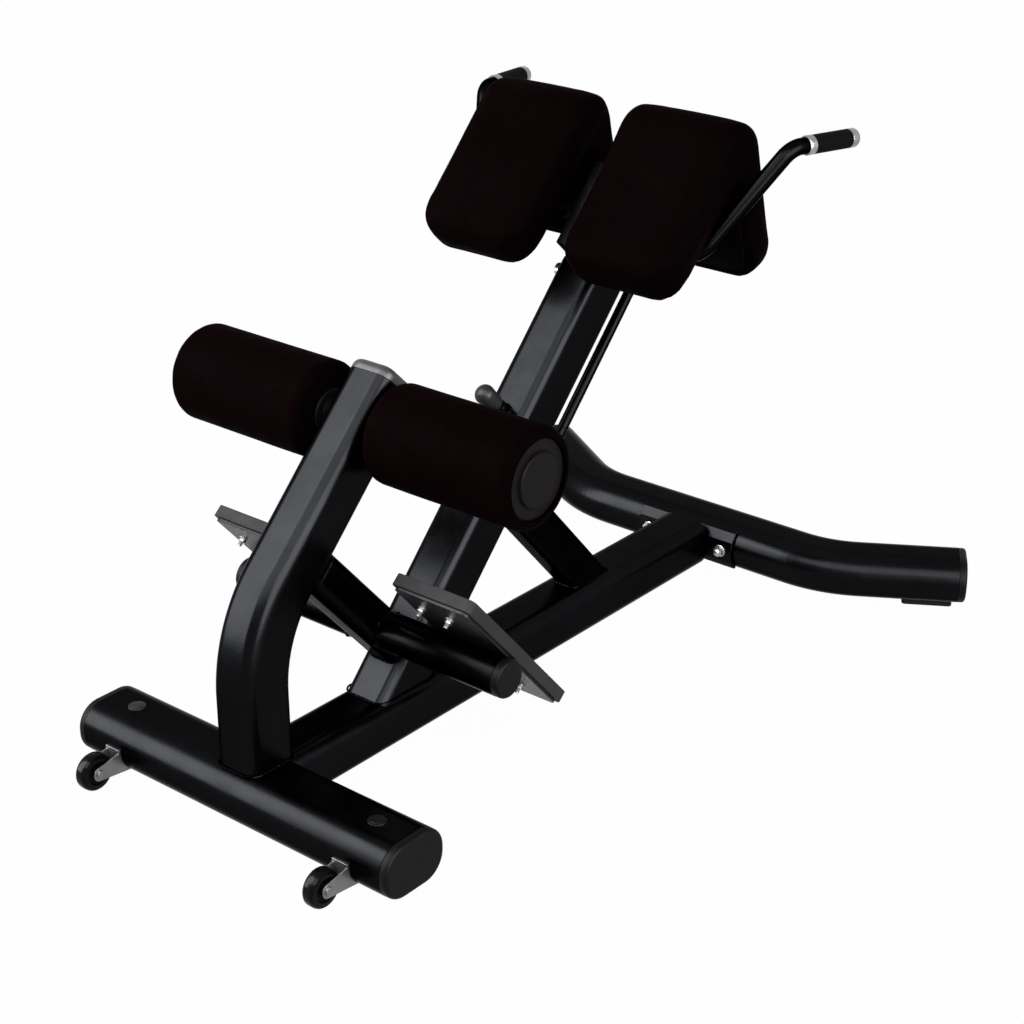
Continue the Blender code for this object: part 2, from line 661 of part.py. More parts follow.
def slide_guide(kit):
    """The plastic bush in the post's top, and the bolt that holds it."""
    corner = POST_CORNER - WALL - GAP
    outside = oval(GUIDE_OUTER_W, GUIDE_OUTER_D, corner)
    bore = oval(SLIDE_WIDTH + 2 * SLIDE_FIT, SLIDE_DEPTH + 2 * SLIDE_FIT, SLIDE_CORNER + SLIDE_FIT)
    lip = oval(POST_WIDTH - 2 * GAP, POST_DEPTH - 2 * GAP, POST_CORNER - GAP)
    low = POST_TOP_S - GUIDE_LENGTH
    top = POST_TOP_S + GAP + GUIDE_LIP
    bush = stack([(low, outside), (POST_TOP_S + GAP, outside), (POST_TOP_S + GAP, lip),
                  (top, lip), (top, bore), (low, bore)], close_loop=True)
    guide = make("slide_guide", bush, kit.plastic, kit.post_axis)
    place = Matrix.Translation(post_point(GUIDE_BOLT_S, GUIDE_BOLT_N)) @ along_x(sign=-1)
    seat = POST_WIDTH / 2 + GAP
    radius = GUIDE_BOLT_RADIUS + HOLE_FIT
    hole = helper("guide_bolt_hole", turned([(radius, SLIDE_WIDTH / 4), (radius, POST_WIDTH)], 12),
                  kit.post_axis, place)
    boolean(guide, hole)
    boolean(kit.post_tube, hole)
    start = SLIDE_WIDTH / 2 + SLIDE_FIT
    shank, head = circle(GUIDE_BOLT_RADIUS, 12), circle(GUIDE_BOLT_HEAD, 12)
    made = stack([(start, shank), (seat, shank), (seat, head),
                  (seat + GUIDE_BOLT_PROUD * 0.7, head),
                  (seat + GUIDE_BOLT_PROUD, circle(GUIDE_BOLT_HEAD * 0.7, 12))])
    make("guide_bolt", made, kit.chrome, kit.post_axis, place)


def arm(kit):
    """The brace from the upright to the slanting post, over the foot bar."""
    start = FOOTBAR - ARM_DIR * ARM_TO_UPRIGHT
    end = FOOTBAR + ARM_DIR * ARM_TO_POST
    outer, inner = tube_outlines(ARM_WIDTH, ARM_DEPTH, ARM_CORNER)
    tube = make("brace_arm", tube_along(straight(start, end), outer, inner), kit.steel, kit.root)
    kit.arm_tool = helper("arm_tool", solid_along(
        straight(start, end), grown(ARM_WIDTH, ARM_DEPTH, ARM_CORNER)), kit.root)
    boolean(tube, kit.upright_tool)
    boolean(tube, kit.post_tool)


def strut(kit):
    """The short strut from the back of the slanting post to the spine."""
    end = STRUT_FOOT + STRUT_DIR * (SPINE_TOP - SPINE_Z) / math.sin(STRUT_ANGLE)
    start = STRUT_FOOT - STRUT_DIR * STRUT_LENGTH
    outer, inner = tube_outlines(STRUT_WIDTH, STRUT_DEPTH, STRUT_CORNER)
    tube = make("strut_tube", tube_along(straight(start, end), outer, inner), kit.steel, kit.root)
    boolean(tube, kit.post_tool)
    boolean(tube, kit.spine_tool)


# Foot plates

def foot_bar(kit):
    outer, inner = tube_outlines(2 * FOOTBAR_RADIUS, 2 * FOOTBAR_RADIUS, FOOTBAR_RADIUS)
    for side, sign in SIDES:
        line = straight(FOOTBAR, FOOTBAR + Vector((sign * FOOTBAR_END_X, 0, 0)))
        tube = make(f"foot_bar_{side}", tube_along(line, outer, inner), kit.steel, kit.root)
        boolean(tube, kit.arm_tool)
        cap = end_cap(2 * FOOTBAR_RADIUS, 2 * FOOTBAR_RADIUS, FOOTBAR_RADIUS)
        make(f"foot_bar_cap_{side}", cap, kit.plastic, kit.root,
             level_frame_at(line[1][0], Vector((sign, 0, 0))))


def plate_outline(margin, sign):
    """A foot plate seen from above its tread, with its cut corners."""
    inner = PLATE_INNER_X + margin
    outer = PLATE_INNER_X + PLATE_WIDTH - margin
    front = -PLATE_FORWARD + margin
    rear = PLATE_LENGTH - PLATE_FORWARD - margin
    cut = PLATE_CORNER / 3
    points = []
    for x, y, to_x, to_y in ((inner, front, 1, 1), (outer, front, -1, 1),
                             (outer, rear, -1, -1), (inner, rear, 1, -1)):
        corner = [(x, y + to_y * 3 * cut), (x + to_x * cut, y + to_y * cut),
                  (x + to_x * 3 * cut, y)]
        points += corner if to_x == to_y else list(reversed(corner))
    return [(sign * x, y) for x, y in points]


def foot_plates(kit):
    seat = FOOTBAR_RADIUS + GAP
    tread_low = seat + PLATE_THICK + GAP
    for side, sign in SIDES:
        small = plate_outline(PLATE_MARGIN, sign)
        large = plate_outline(0, sign)
        worn = plate_outline(TREAD_BEVEL, sign)
        plate = make(f"foot_plate_{side}", stack([(seat, small), (seat + PLATE_THICK, small)]),
                     kit.steel, kit.plate_axis)
        tread = make(f"foot_tread_{side}", stack([
            (tread_low, large), (tread_low + TREAD_THICK - TREAD_BEVEL, large),
            (tread_low + TREAD_THICK, worn)]), kit.rubber, kit.plate_axis)
        left_edge = PLATE_INNER_X if sign > 0 else -PLATE_INNER_X - PLATE_WIDTH
        names = ("inner", "outer") if sign > 0 else ("outer", "inner")
        for spot, (x, y) in zip(names, TREAD_BOLT_SPOTS):
            down = Matrix.Rotation(math.pi, 4, "X")
            place = Matrix.Translation((left_edge + x, y - PLATE_FORWARD, seat)) @ down
            radius = TREAD_BOLT_RADIUS + HOLE_FIT
            deep = PLATE_THICK + GAP + TREAD_BOLT_DEPTH
            hole = helper(f"tread_hole_{spot}_{side}", turned([
                (radius, -deep - HOLE_FIT), (radius, PLATE_THICK)], 12), kit.plate_axis, place)
            boolean(plate, hole)
            boolean(tread, hole)
            stud = bolt(TREAD_BOLT_RADIUS, -deep, GAP, TREAD_NUT_RADIUS, TREAD_NUT_HEIGHT,
                        TREAD_BOLT_PROUD - TREAD_NUT_HEIGHT)
            make(f"tread_bolt_{spot}_{side}", stud, kit.zinc, kit.plate_axis, place)


# Transport wheels

def cheek(x_from, x_to):
    """One cheek of a wheel bracket: the hull of its boss and of its root on the foot."""
    body = bmesh.new()
    boss = [(WHEEL_Y + CHEEK_BOSS * math.cos(a), WHEEL_Z + CHEEK_BOSS * math.sin(a))
            for a in (2 * math.pi * i / 16 for i in range(16))]
    root_y = -FOOT_WIDTH / 2 + CHEEK_ROOT
    root = [(root_y, CHEEK_TOP), (root_y, CHEEK_BOTTOM)]
    for x in (x_from, x_to):
        for y, z in boss + root:
            body.verts.new((x, y, z))
    hull = bmesh.ops.convex_hull(body, input=body.verts)
    bmesh.ops.delete(body, geom=list(set(hull["geom_interior"] + hull["geom_unused"])),
                     context="VERTS")
    return body


def transport_wheels(kit):
    inside = WHEEL_WIDTH / 2 + CHEEK_CLEAR
    outside = inside + CHEEK_THICK
    for side, sign in SIDES:
        x = sign * WHEEL_X
        low = (x - outside, -FOOT_WIDTH / 2 - BACK_REACH, WHEEL_BACK_Z)
        high = (x + outside, -FOOT_WIDTH / 2 + CHEEK_ROOT, CHEEK_TOP)
        bracket = make(f"wheel_bracket_{side}", box(low, high), kit.zinc, kit.root)
        for name, low, high in (("near", -outside, -inside), ("far", inside, outside)):
            boolean(bracket, helper(f"cheek_{name}_{side}", cheek(x + low, x + high), kit.root),
                    "UNION")
        rivet = turned([(RIVET_RADIUS, -outside - RIVET_HEIGHT), (RIVET_RADIUS, -outside),
                        (WHEEL_PIN_RADIUS, -outside), (WHEEL_PIN_RADIUS, outside),
                        (RIVET_RADIUS, outside), (RIVET_RADIUS, outside + RIVET_HEIGHT)], 16)
        axis = along_x(x, WHEEL_Y, WHEEL_Z)
        boolean(bracket, helper(f"wheel_rivet_{side}", rivet, kit.root, axis), "UNION")
        boolean(bracket, kit.foot_tool)
        half = WHEEL_WIDTH / 2
        bore = WHEEL_PIN_RADIUS + RUN_FIT
        profile = [(bore, -half), (WHEEL_HUB, -half), (WHEEL_HUB, -half + WHEEL_DISH),
                   (WHEEL_RIM, -half + WHEEL_DISH), (WHEEL_RIM + 0.002, -half),
                   (WHEEL_RADIUS - 0.004, -half), (WHEEL_RADIUS - 0.001, -half * 0.6),
                   (WHEEL_RADIUS, 0)]
        profile += [(r, -z) for r, z in reversed(profile[:-1])]
        make(f"transport_wheel_{side}", turned(profile, 18, close_loop=True), kit.tyre,
             kit.root, axis)


# Rollers

def rollers(kit):
    inner = UPRIGHT_WIDTH / 2 + GAP
    flange_out = ROLLER_INNER_X - RUN_FIT
    flange_in = flange_out - FLANGE_THICKNESS
    seat = ROLLER_OUTER_X - DISC_POCKET
    end = seat - DISC_SPIGOT - GAP
    half = [(AXLE_RADIUS, end), (AXLE_RADIUS, flange_out), (FLANGE_RADIUS, flange_out),
            (FLANGE_RADIUS, flange_in), (COLLAR_RADIUS, flange_in), (COLLAR_RADIUS, inner),
            (AXLE_RADIUS, inner)]
    profile = [(r, -z) for r, z in half] + list(reversed(half))
    make("roller_axle", turned(profile, 16), kit.chrome, kit.root, along_x(0, AXLE.y, AXLE.z))
    bore = AXLE_RADIUS + RUN_FIT
    edge = [(ROLLER_RADIUS - ROLLER_EDGE * (1 - math.cos(a)), ROLLER_EDGE * (1 - math.sin(a)))
            for a in (math.radians(90 * i / 4) for i in range(5))]
    foam = [(r, ROLLER_INNER_X + z) for r, z in reversed(edge)]
    foam += [(r, ROLLER_OUTER_X - z) for r, z in edge]
    foam += [(DISC_RADIUS + 3 * GAP, ROLLER_OUTER_X), (DISC_RADIUS + 3 * GAP, seat)]
    foam += [(bore, seat), (bore, ROLLER_INNER_X)]
    disc = [(bore - 2 * GAP, -DISC_SPIGOT), (bore - 2 * GAP, GAP), (DISC_RADIUS, GAP),
            (DISC_RADIUS, DISC_THICKNESS * 0.6), (DISC_RADIUS - 0.0015, DISC_THICKNESS),
            (DISC_RING + 0.001, DISC_THICKNESS), (DISC_RING, DISC_THICKNESS - 0.001),
            (DISC_RING - 0.001, DISC_THICKNESS)]
    for side, sign in SIDES:
        axis = empty(f"roller_axis_{side}", kit.root, AXLE)
        make(f"roller_{side}", turned(foam, 28, close_loop=True), kit.foam, axis,
             along_x(sign=sign))
        make(f"roller_disc_{side}", turned(disc, 20), kit.plastic, axis,
             along_x(sign * seat, sign=sign))


# Pieces on the slanting post

def lock_pin(kit):
    """The pull pin on the post's front face: its barrel, the pin and the rubber knob."""
    face = POST_DEPTH / 2
    place = Matrix.Translation(post_point(LOCK_S, 0)) @ Matrix.Rotation(math.pi / 2, 4, "X")
    bore = LOCK_RADIUS + RUN_FIT
    hole = helper("lock_hole", turned([(bore, face - 2 * WALL), (bore, face + WALL)], 16),
                  kit.post_axis, place)
    boolean(kit.post_tube, hole)
    top = face + GAP + BARREL_LENGTH
    barrel = [(BARREL_RADIUS, face + GAP), (BARREL_RADIUS, top - 0.002),
              (BARREL_RADIUS - 0.002, top), (bore, top), (bore, face + GAP)]
    make("lock_barrel", turned(barrel, 16, close_loop=True), kit.steel, kit.post_axis, place)
    axis = empty("lock_axis", kit.post_axis, post_point(LOCK_S, 0))
    turn = Matrix.Rotation(math.pi / 2, 4, "X")
    tip = SLIDE_DEPTH / 2 + GAP
    knob_low = KNOB_TOP_N - KNOB_LENGTH
    make("lock_pin", turned([(LOCK_RADIUS - 0.001, tip), (LOCK_RADIUS, tip + 0.001),
                             (LOCK_RADIUS, knob_low + KNOB_BORE - GAP)], 16), kit.chrome, axis, turn)
    bore = LOCK_RADIUS + GAP
    profile = [(bore, knob_low + KNOB_BORE), (bore, knob_low), (KNOB_RADIUS - 0.003, knob_low),
               (KNOB_RADIUS - 0.001, knob_low + 0.004)]
    centre = KNOB_TOP_N - KNOB_RADIUS * 0.8
    profile += [(KNOB_RADIUS * math.cos(a), centre + KNOB_RADIUS * 0.8 * math.sin(a))
                for a in (math.radians(18 * i) for i in range(5))]
    make("lock_knob", turned(profile, 16), kit.rubber, axis, turn)


def gas_spring(kit):
    """The rod stands on the post's lug; the cylinder hangs from the sliding tube's lug."""
    place = Matrix.Translation(post_point(0, SPRING_N))
    low, high = POST_LUG_S - GAP, POST_LUG_S + LUG_THICKNESS + GAP
    stud, nut, rod = circle(STUD_RADIUS, 12), hexagon(2 * NUT_RADIUS), circle(SPRING_ROD_RADIUS, 12)
    made = stack([(low - NUT_HEIGHT - 0.003, stud), (low - NUT_HEIGHT, stud),
                  (low - NUT_HEIGHT, nut), (low, nut), (low, stud), (high, stud), (high, nut),
                  (high + NUT_HEIGHT, nut), (high + NUT_HEIGHT, rod), (SPRING_ROD_TOP_S, rod)])
    make("gas_spring_rod", made, kit.chrome, kit.post_axis, place)
    low, high = SPRING_LUG_S - GAP, SPRING_LUG_S + LUG_THICKNESS + GAP
    bore, skin = circle(SPRING_BORE, 16), circle(SPRING_RADIUS, 16)
    neck, stud, nut = circle(SPRING_RADIUS - 0.0015, 16), circle(STUD_RADIUS, 16), circle(NUT_RADIUS, 16)
    made = stack([(low - SPRING_BORE_END, bore), (SPRING_BOTTOM_S, bore),
                  (SPRING_BOTTOM_S, neck), (SPRING_BOTTOM_S + 0.0015, skin),
                  (low - 0.0015, skin), (low, neck), (low, stud), (high, stud), (high, nut),
                  (high + NUT_HEIGHT, nut), (high + NUT_HEIGHT, stud), (high + NUT_HEIGHT + 0.003, stud)])
    make("gas_spring_cylinder", made, kit.steel, kit.carriage, place)


def sliding_tube(kit):
    line = straight(post_point(SLIDE_BOTTOM_S, 0), post_point(SLIDE_TOP_S, 0))
    outer = oval(SLIDE_WIDTH, SLIDE_DEPTH, SLIDE_CORNER)
    inner = oval(SLIDE_WIDTH - 2 * SLIDE_WALL, SLIDE_DEPTH - 2 * SLIDE_WALL,
                 SLIDE_CORNER - SLIDE_WALL)
    tube = make("slide_tube", tube_along(line, outer, inner), kit.steel, kit.carriage)
    lug(kit, "slide_lug", tube, SPRING_LUG_S, -(SLIDE_DEPTH - SLIDE_WALL) / 2)


# Hip pads and their bracket, as outlines in (s, n)

def wedge(offset, bend, front_length, rear_length, steps=8):
    """Half of a wedge's section: the line at a distance outside the pads' back faces."""
    rear_dir = Vector((-math.cos(PAD_ANGLE), -math.sin(PAD_ANGLE)))
    front_out, rear_out = Vector((0, 1)), Vector((math.sin(PAD_ANGLE), -math.cos(PAD_ANGLE)))
    front_off, rear_off = offset
    apex = Vector((PAD_APEX_S, PAD_BACK_N))
    corner_s = (rear_off - front_off * rear_out.y) / rear_out.x
    corner = apex + Vector((corner_s, front_off))
    back = bend / math.tan(PAD_ANGLE / 2)
    centre = corner + Vector((-back, 0)) - front_out * bend
    front_end = Vector((apex.x - front_length, corner.y))
    rear_end = apex + rear_dir * rear_length + rear_out * rear_off
    points = [front_end]
    sweep = math.pi - PAD_ANGLE
    for step in range(steps + 1):
        angle = sweep * step / steps
        points.append(centre + Vector((math.sin(angle), math.cos(angle))) * bend)
    points.append(rear_end)
    return points


def spread(points, spots_in, spots_out):
    """The same line with more points on its first and last straight runs."""
    start, first = points[0], points[1]
    last, end = points[-2], points[-1]
    run_in = [start.lerp(first, t) for t in spots_in]
    run_out = [last.lerp(end, t) for t in spots_out]
    return run_in + points[1:-1] + run_out


def cushion_ring(reach, height, width):
    """A cross-section of the cushion: flat back, drawn-in sides and a crowned face."""
    half = width / 2
    crown = PAD_CROWN / PAD_FRONT_THICK
    right = [(half - PAD_DRAW_IN, 0.0), (half - PAD_DRAW_IN * 0.4, 0.12), (half, 0.36),
             (half, 0.64), (half - PAD_ROUND * 0.16, 0.80), (half - PAD_ROUND * 0.52, 0.92),
             (half - PAD_ROUND * 1.1, 0.985), (half * 0.60, 1 + crown * 0.45),
             (half * 0.30, 1 + crown * 0.85)]
    ring = right + [(0.0, 1 + crown)]
    ring += [(-x, h) for x, h in reversed(right)]
    ring.append((0.0, 0.0))
    return [(x * reach, h * height) for x, h in ring]


def end_rounding(distance):
    """How wide and how thick the cushion is at a distance from its free end."""
    corner = max(0.0, PAD_CORNER - distance) / PAD_CORNER
    reach = 1 - (1 - math.sqrt(1 - corner ** 2)) * 2 * PAD_CORNER / PAD_WIDTH
    edge = max(0.0, PAD_EDGE - distance) / PAD_EDGE
    return reach, 1 - (1 - math.sqrt(1 - edge ** 2)) * PAD_EDGE_DROP


def cushion(kit, side, sign):
    spots = (0.0, 0.008, 0.03, 0.07, 0.13, 0.22, 0.4, 0.6, 0.8)
    spots_out = [1 - t for t in reversed(spots)]
    back = spread(wedge((0, 0), PAD_INNER_BEND, PAD_FRONT_LENGTH, PAD_REAR_LENGTH),
                  spots, spots_out)
    face = spread(wedge((PAD_FRONT_THICK - PAD_CROWN, PAD_REAR_THICK - PAD_CROWN),
                        PAD_OUTER_BEND, PAD_FRONT_LENGTH, PAD_REAR_LENGTH), spots, spots_out)
    middle = sign * (PAD_INNER_X + PAD_WIDTH / 2)
    rings = []
    for low, high in zip(back, face):
        from_end = min((low - back[0]).length, (low - back[-1]).length)
        reach, height = end_rounding(from_end)
        rings.append([post_point(*low.lerp(high, h), middle + x)
                      for x, h in cushion_ring(reach, height, PAD_WIDTH)])
    body = bmesh.new()
    add_rings(body, rings)
    made = make(f"hip_pad_{side}", body, kit.vinyl, kit.carriage)
    made.data.set_sharp_from_angle(angle=math.radians(60))


def wedge_sheet(x_from, x_to):
    """The bent steel sheet under one pad."""
    lengths = (PAD_FRONT_LENGTH - SHEET_INSET, PAD_REAR_LENGTH - SHEET_INSET)
    outside = wedge((-GAP, -GAP), PAD_INNER_BEND, *lengths)
    inside = wedge((-GAP - SHEET_THICK, -GAP - SHEET_THICK),
                   PAD_INNER_BEND - SHEET_THICK, *lengths)
    outline = [(-p.y, p.x) for p in outside + list(reversed(inside))]
    return sheet(outline, x_from, x_to)


def gusset_outline():
    """A plate that fills the wedge between the two legs of the sheets."""
    into = GAP + SHEET_THICK / 2
    line = wedge((-into, -into), PAD_INNER_BEND - SHEET_THICK / 2,
                 PAD_FRONT_LENGTH - 2 * SHEET_INSET, GUSSET_REACH)
    low_front = line[0] + Vector((0.012, -GUSSET_DROP))
    return [(-p.y, p.x) for p in line + [low_front]]


def pad_bracket(kit):
    """The welded carrier of the pads: a middle bar, a spreader, two gussets and two sheets."""
    half = CARRIER_WIDTH / 2
    top = SLIDE_TOP_S + GAP
    made = make("pad_bracket", box((-half, -PAD_BACK_N, CARRIER_BOTTOM_S),
                                   (half, -CARRIER_N, top)), kit.steel, kit.carriage)
    tail = box((-half, -CARRIER_N - SHEET_THICK, CARRIER_TAIL_S),
               (half, -SLIDE_DEPTH / 2 - GAP, top + LID_THICK / 2))
    lid = box((-SLIDE_WIDTH / 2 + SLIDE_WALL, -CARRIER_N - 2 * SHEET_THICK, top),
              (SLIDE_WIDTH / 2 - SLIDE_WALL, SLIDE_DEPTH / 2 - SLIDE_WALL, top + LID_THICK))
    under = PAD_BACK_N - GAP - SHEET_THICK / 2
    reach = GUSSET_X + GUSSET_THICK
    spreader = box((-reach, -under, SPREADER_S),
                   (reach, -CARRIER_N - SHEET_THICK, SPREADER_S + SPREADER_THICK))
    tools = {"carrier_tail": tail, "carrier_lid": lid, "carrier_spreader": spreader}
    for side, sign in SIDES:
        ends = sorted((sign * (PAD_INNER_X + SHEET_INSET),
                       sign * (PAD_INNER_X + PAD_WIDTH - SHEET_INSET)))
        tools[f"pad_sheet_{side}"] = wedge_sheet(*ends)
        middle = sign * GUSSET_X
        tools[f"pad_gusset_{side}"] = sheet(gusset_outline(), middle - GUSSET_THICK / 2,
                                            middle + GUSSET_THICK / 2)
    for name, body in tools.items():
        boolean(made, helper(f"{name}_tool", body, kit.carriage), "UNION")
    radius = BAR_RADIUS + GAP
    hole = helper("bar_hole", turned([(radius, -BAR_ELBOW_X), (radius, BAR_ELBOW_X)]),
                  kit.carriage, Matrix.Translation(post_point(BAR_S, BAR_N)) @ along_x())
    boolean(made, hole)


def handle_bar(kit):
    """One bent tube from grip to grip, with its rings, grips and end plugs."""
    right = [post_point(BAR_S, BAR_N, BAR_ELBOW_X)]
    for x, s, n in (BAR_RISE, GRIP_RUN):
        right.append(right[-1] + post_point(s, n, x))
    left = [Vector((-p.x, p.y, p.z)) for p in reversed(right)]
    bends = (BAR_TOP_BEND, BAR_ELBOW_BEND, BAR_ELBOW_BEND, BAR_TOP_BEND)
    path = rounded_path(left + right, bends, 4)
    bar = tube_along(path, circle(BAR_RADIUS, BAR_SIDES), circle(BAR_RADIUS - BAR_WALL, BAR_SIDES))
    make("handle_bar", bar, kit.steel, kit.carriage)
    bore = BAR_RADIUS + GAP
    outside = bore + GRIP_THICK
    for side, (point, direction) in (("left", (path[0][0], -path[0][1])), ("right", path[-1])):
        place = towards(point, direction)
        grip = [(bore, -GRIP_LENGTH), (outside - 0.0008, -GRIP_LENGTH),
                (outside, -GRIP_LENGTH + 0.001), (outside, -0.001), (outside - 0.0008, 0), (bore, 0)]
        make(f"grip_{side}", turned(grip, 20, close_loop=True), kit.rubber, kit.carriage, place)
        low = -GRIP_LENGTH - GAP - RING_LENGTH
        high = -GRIP_LENGTH - GAP
        rim = bore + RING_THICK
        ring = [(bore, low), (rim - 0.001, low), (rim, low + 0.001), (rim, high), (bore, high)]
        make(f"grip_ring_{side}", turned(ring, 20, close_loop=True), kit.chrome, kit.carriage, place)
        neck = (BAR_RADIUS - BAR_WALL) * math.cos(math.pi / BAR_SIDES) - GAP
        plug = [(neck, -PLUG_SPIGOT), (neck, GAP), (outside, GAP), (outside, PLUG_LENGTH * 0.65),
                (outside * 0.93, PLUG_LENGTH * 0.87), (outside * 0.75, PLUG_LENGTH)]
        make(f"grip_plug_{side}", turned(plug, 20), kit.chrome, kit.carriage, place)


def centre_on_floor(kit):
    """Puts the origin on the floor, under the middle of the bench."""
    bpy.context.view_layer.update()
    depsgraph = bpy.context.evaluated_depsgraph_get()
    corners = []
    for made in bpy.data.objects:
        if made.type == "MESH" and not made.hide_render:
            shown = made.evaluated_get(depsgraph)
            corners += [shown.matrix_world @ v.co for v in shown.data.vertices]
    middle = [(min(c[i] for c in corners) + max(c[i] for c in corners)) / 2 for i in (0, 1)]
    kit.root.location = (-middle[0], -middle[1], 0)


def build():
    for old in list(bpy.data.objects):
        bpy.data.objects.remove(old)
    kit = SimpleNamespace()
    kit.steel = material("powder_coated_steel", (0.012, 0.013, 0.015), 0.34, 0.3)
    kit.plastic = material("dark_plastic", (0.035, 0.032, 0.032), 0.45)
    kit.rubber = material("black_rubber", (0.02, 0.02, 0.02), 0.8)
    kit.foam = material("foam_skin", (0.010, 0.006, 0.007), 0.6)
    kit.vinyl = material("black_vinyl", (0.010, 0.005, 0.006), 0.5)
    kit.chrome = material("bright_steel", (0.75, 0.75, 0.76), 0.18, 1.0)
    kit.zinc = material("zinc_plated_steel", (0.55, 0.55, 0.56), 0.35, 1.0)
    kit.tyre = material("wheel_rubber", (0.02, 0.02, 0.022), 0.35)
    kit.root = empty("bench", None)
    kit.post_axis = empty("post_axis", kit.root, (0, POST_Y, 0), POST_ANGLE - math.pi / 2)
    kit.carriage = empty("carriage_axis", kit.post_axis)
    kit.plate_axis = empty("plate_axis", kit.root, FOOTBAR, -ARM_ANGLE)
    front_foot(kit)
    rear_foot(kit)
    upright(kit)
    spine(kit)
    saddle(kit)
    post(kit)
    slide_guide(kit)
    arm(kit)
    strut(kit)
    foot_bar(kit)
    foot_plates(kit)
    transport_wheels(kit)
    rollers(kit)
    lock_pin(kit)
    sliding_tube(kit)
    gas_spring(kit)
    for side, sign in SIDES:
        cushion(kit, side, sign)
    pad_bracket(kit)
    handle_bar(kit)
    centre_on_floor(kit)


build()
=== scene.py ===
# A 45 degree back-extension bench: its frame, rollers and hip pads, a studio and the camera.
import math

import bmesh
import bpy
from mathutils import Matrix, Vector, noise
from mathutils.bvhtree import BVHTree


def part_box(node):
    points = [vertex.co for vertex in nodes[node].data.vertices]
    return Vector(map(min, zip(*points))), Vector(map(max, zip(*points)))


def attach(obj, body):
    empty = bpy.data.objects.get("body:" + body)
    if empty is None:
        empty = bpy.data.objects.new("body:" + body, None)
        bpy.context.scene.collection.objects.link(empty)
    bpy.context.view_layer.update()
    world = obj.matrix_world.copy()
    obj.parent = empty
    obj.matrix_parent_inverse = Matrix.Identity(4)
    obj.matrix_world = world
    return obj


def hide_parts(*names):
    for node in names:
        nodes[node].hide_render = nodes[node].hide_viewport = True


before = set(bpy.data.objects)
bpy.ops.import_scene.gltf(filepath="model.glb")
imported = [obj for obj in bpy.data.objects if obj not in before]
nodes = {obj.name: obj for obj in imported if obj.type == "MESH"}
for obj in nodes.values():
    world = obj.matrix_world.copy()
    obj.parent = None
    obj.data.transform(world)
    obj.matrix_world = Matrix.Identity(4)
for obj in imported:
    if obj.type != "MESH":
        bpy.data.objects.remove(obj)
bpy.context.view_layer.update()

print("stage 1: the frame is loaded")

# y is counted from the middle of the front foot
frontLow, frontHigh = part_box("front_foot_tube")
frontY = (frontLow.y + frontHigh.y) / 2
across = Vector((1, 0, 0))
zenith = Vector((0, 0, 1))
sides = {"left": -1, "right": 1}
slitGap = 0.0003  # between pieces that touch


def at(x, y, z):
    return Vector((x, frontY + y, z))


# the slanting post: s runs up along it from the floor, n stands off its middle to the front
slope = {"y": 0.2002, "angle": math.radians(46.96)}
postUp = Vector((0, math.cos(slope["angle"]), math.sin(slope["angle"])))
postOut = Vector((0, -math.sin(slope["angle"]), math.cos(slope["angle"])))


def onPost(s, n, x=0.0):
    return at(x, slope["y"], 0) + postUp * s + postOut * n


# finishes, all procedural and on Object coordinates


def newFinish(name, colour, roughness, metallic=0.0, specular=0.5):
    made = bpy.data.materials.new(name)
    made.use_nodes = True
    tree = made.node_tree
    shader = tree.nodes["Principled BSDF"]
    shader.inputs["Base Color"].default_value = (*colour, 1)
    shader.inputs["Roughness"].default_value = roughness
    shader.inputs["Metallic"].default_value = metallic
    shader.inputs["Specular IOR Level"].default_value = specular
    coords = tree.nodes.new("ShaderNodeTexCoord").outputs["Object"]
    return made, tree, shader, coords


def stretched(tree, coords, scale):
    mapping = tree.nodes.new("ShaderNodeMapping")
    mapping.inputs["Scale"].default_value = scale
    tree.links.new(coords, mapping.inputs["Vector"])
    return mapping.outputs["Vector"]


def speckle(tree, coords, scale, detail, rough=0.55):
    made = tree.nodes.new("ShaderNodeTexNoise")
    made.inputs["Scale"].default_value = scale
    made.inputs["Detail"].default_value = detail
    made.inputs["Roughness"].default_value = rough
    tree.links.new(coords, made.inputs["Vector"])
    return made.outputs["Fac"]


def cells(tree, coords, scale):
    made = tree.nodes.new("ShaderNodeTexVoronoi")
    made.feature = "DISTANCE_TO_EDGE"
    made.inputs["Scale"].default_value = scale
    tree.links.new(coords, made.inputs["Vector"])
    return made.outputs["Distance"]


rampSpots = (0.3, 0.7)


def mottled(tree, shader, socket, factor, low, high):
    # lets a colour or a roughness wander between two values
    made = tree.nodes.new("ShaderNodeValToRGB")
    for stop, spot, colour in zip(made.color_ramp.elements, rampSpots, (low, high)):
        stop.position = spot
        stop.color = (*colour, 1) if isinstance(colour, tuple) else (colour, colour, colour, 1)
    tree.links.new(factor, made.inputs["Fac"])
    tree.links.new(made.outputs["Color"], shader.inputs[socket])


def relief(tree, shader, layers):
    # each layer is a height and its depth in metres
    last = None
    for height, depth in layers:
        made = tree.nodes.new("ShaderNodeBump")
        made.inputs["Distance"].default_value = depth
        tree.links.new(height, made.inputs["Height"])
        if last:
            tree.links.new(last, made.inputs["Normal"])
        last = made.outputs["Normal"]
    tree.links.new(last, shader.inputs["Normal"])


# a cloud shades the colour and a haze the roughness: each is a noise's scale and detail
powder = {"colour": (0.0046, 0.0047, 0.0051), "pale": (0.0058, 0.0060, 0.0066), "edge": 0.50,
          "roughness": 0.26, "shine": (0.22, 0.30), "cloud": (7, 4), "haze": (23, 3),
          "peel": (520, 2), "peelDepth": 0.00004, "weld": (210, 2), "weldDepth": 0.0006}


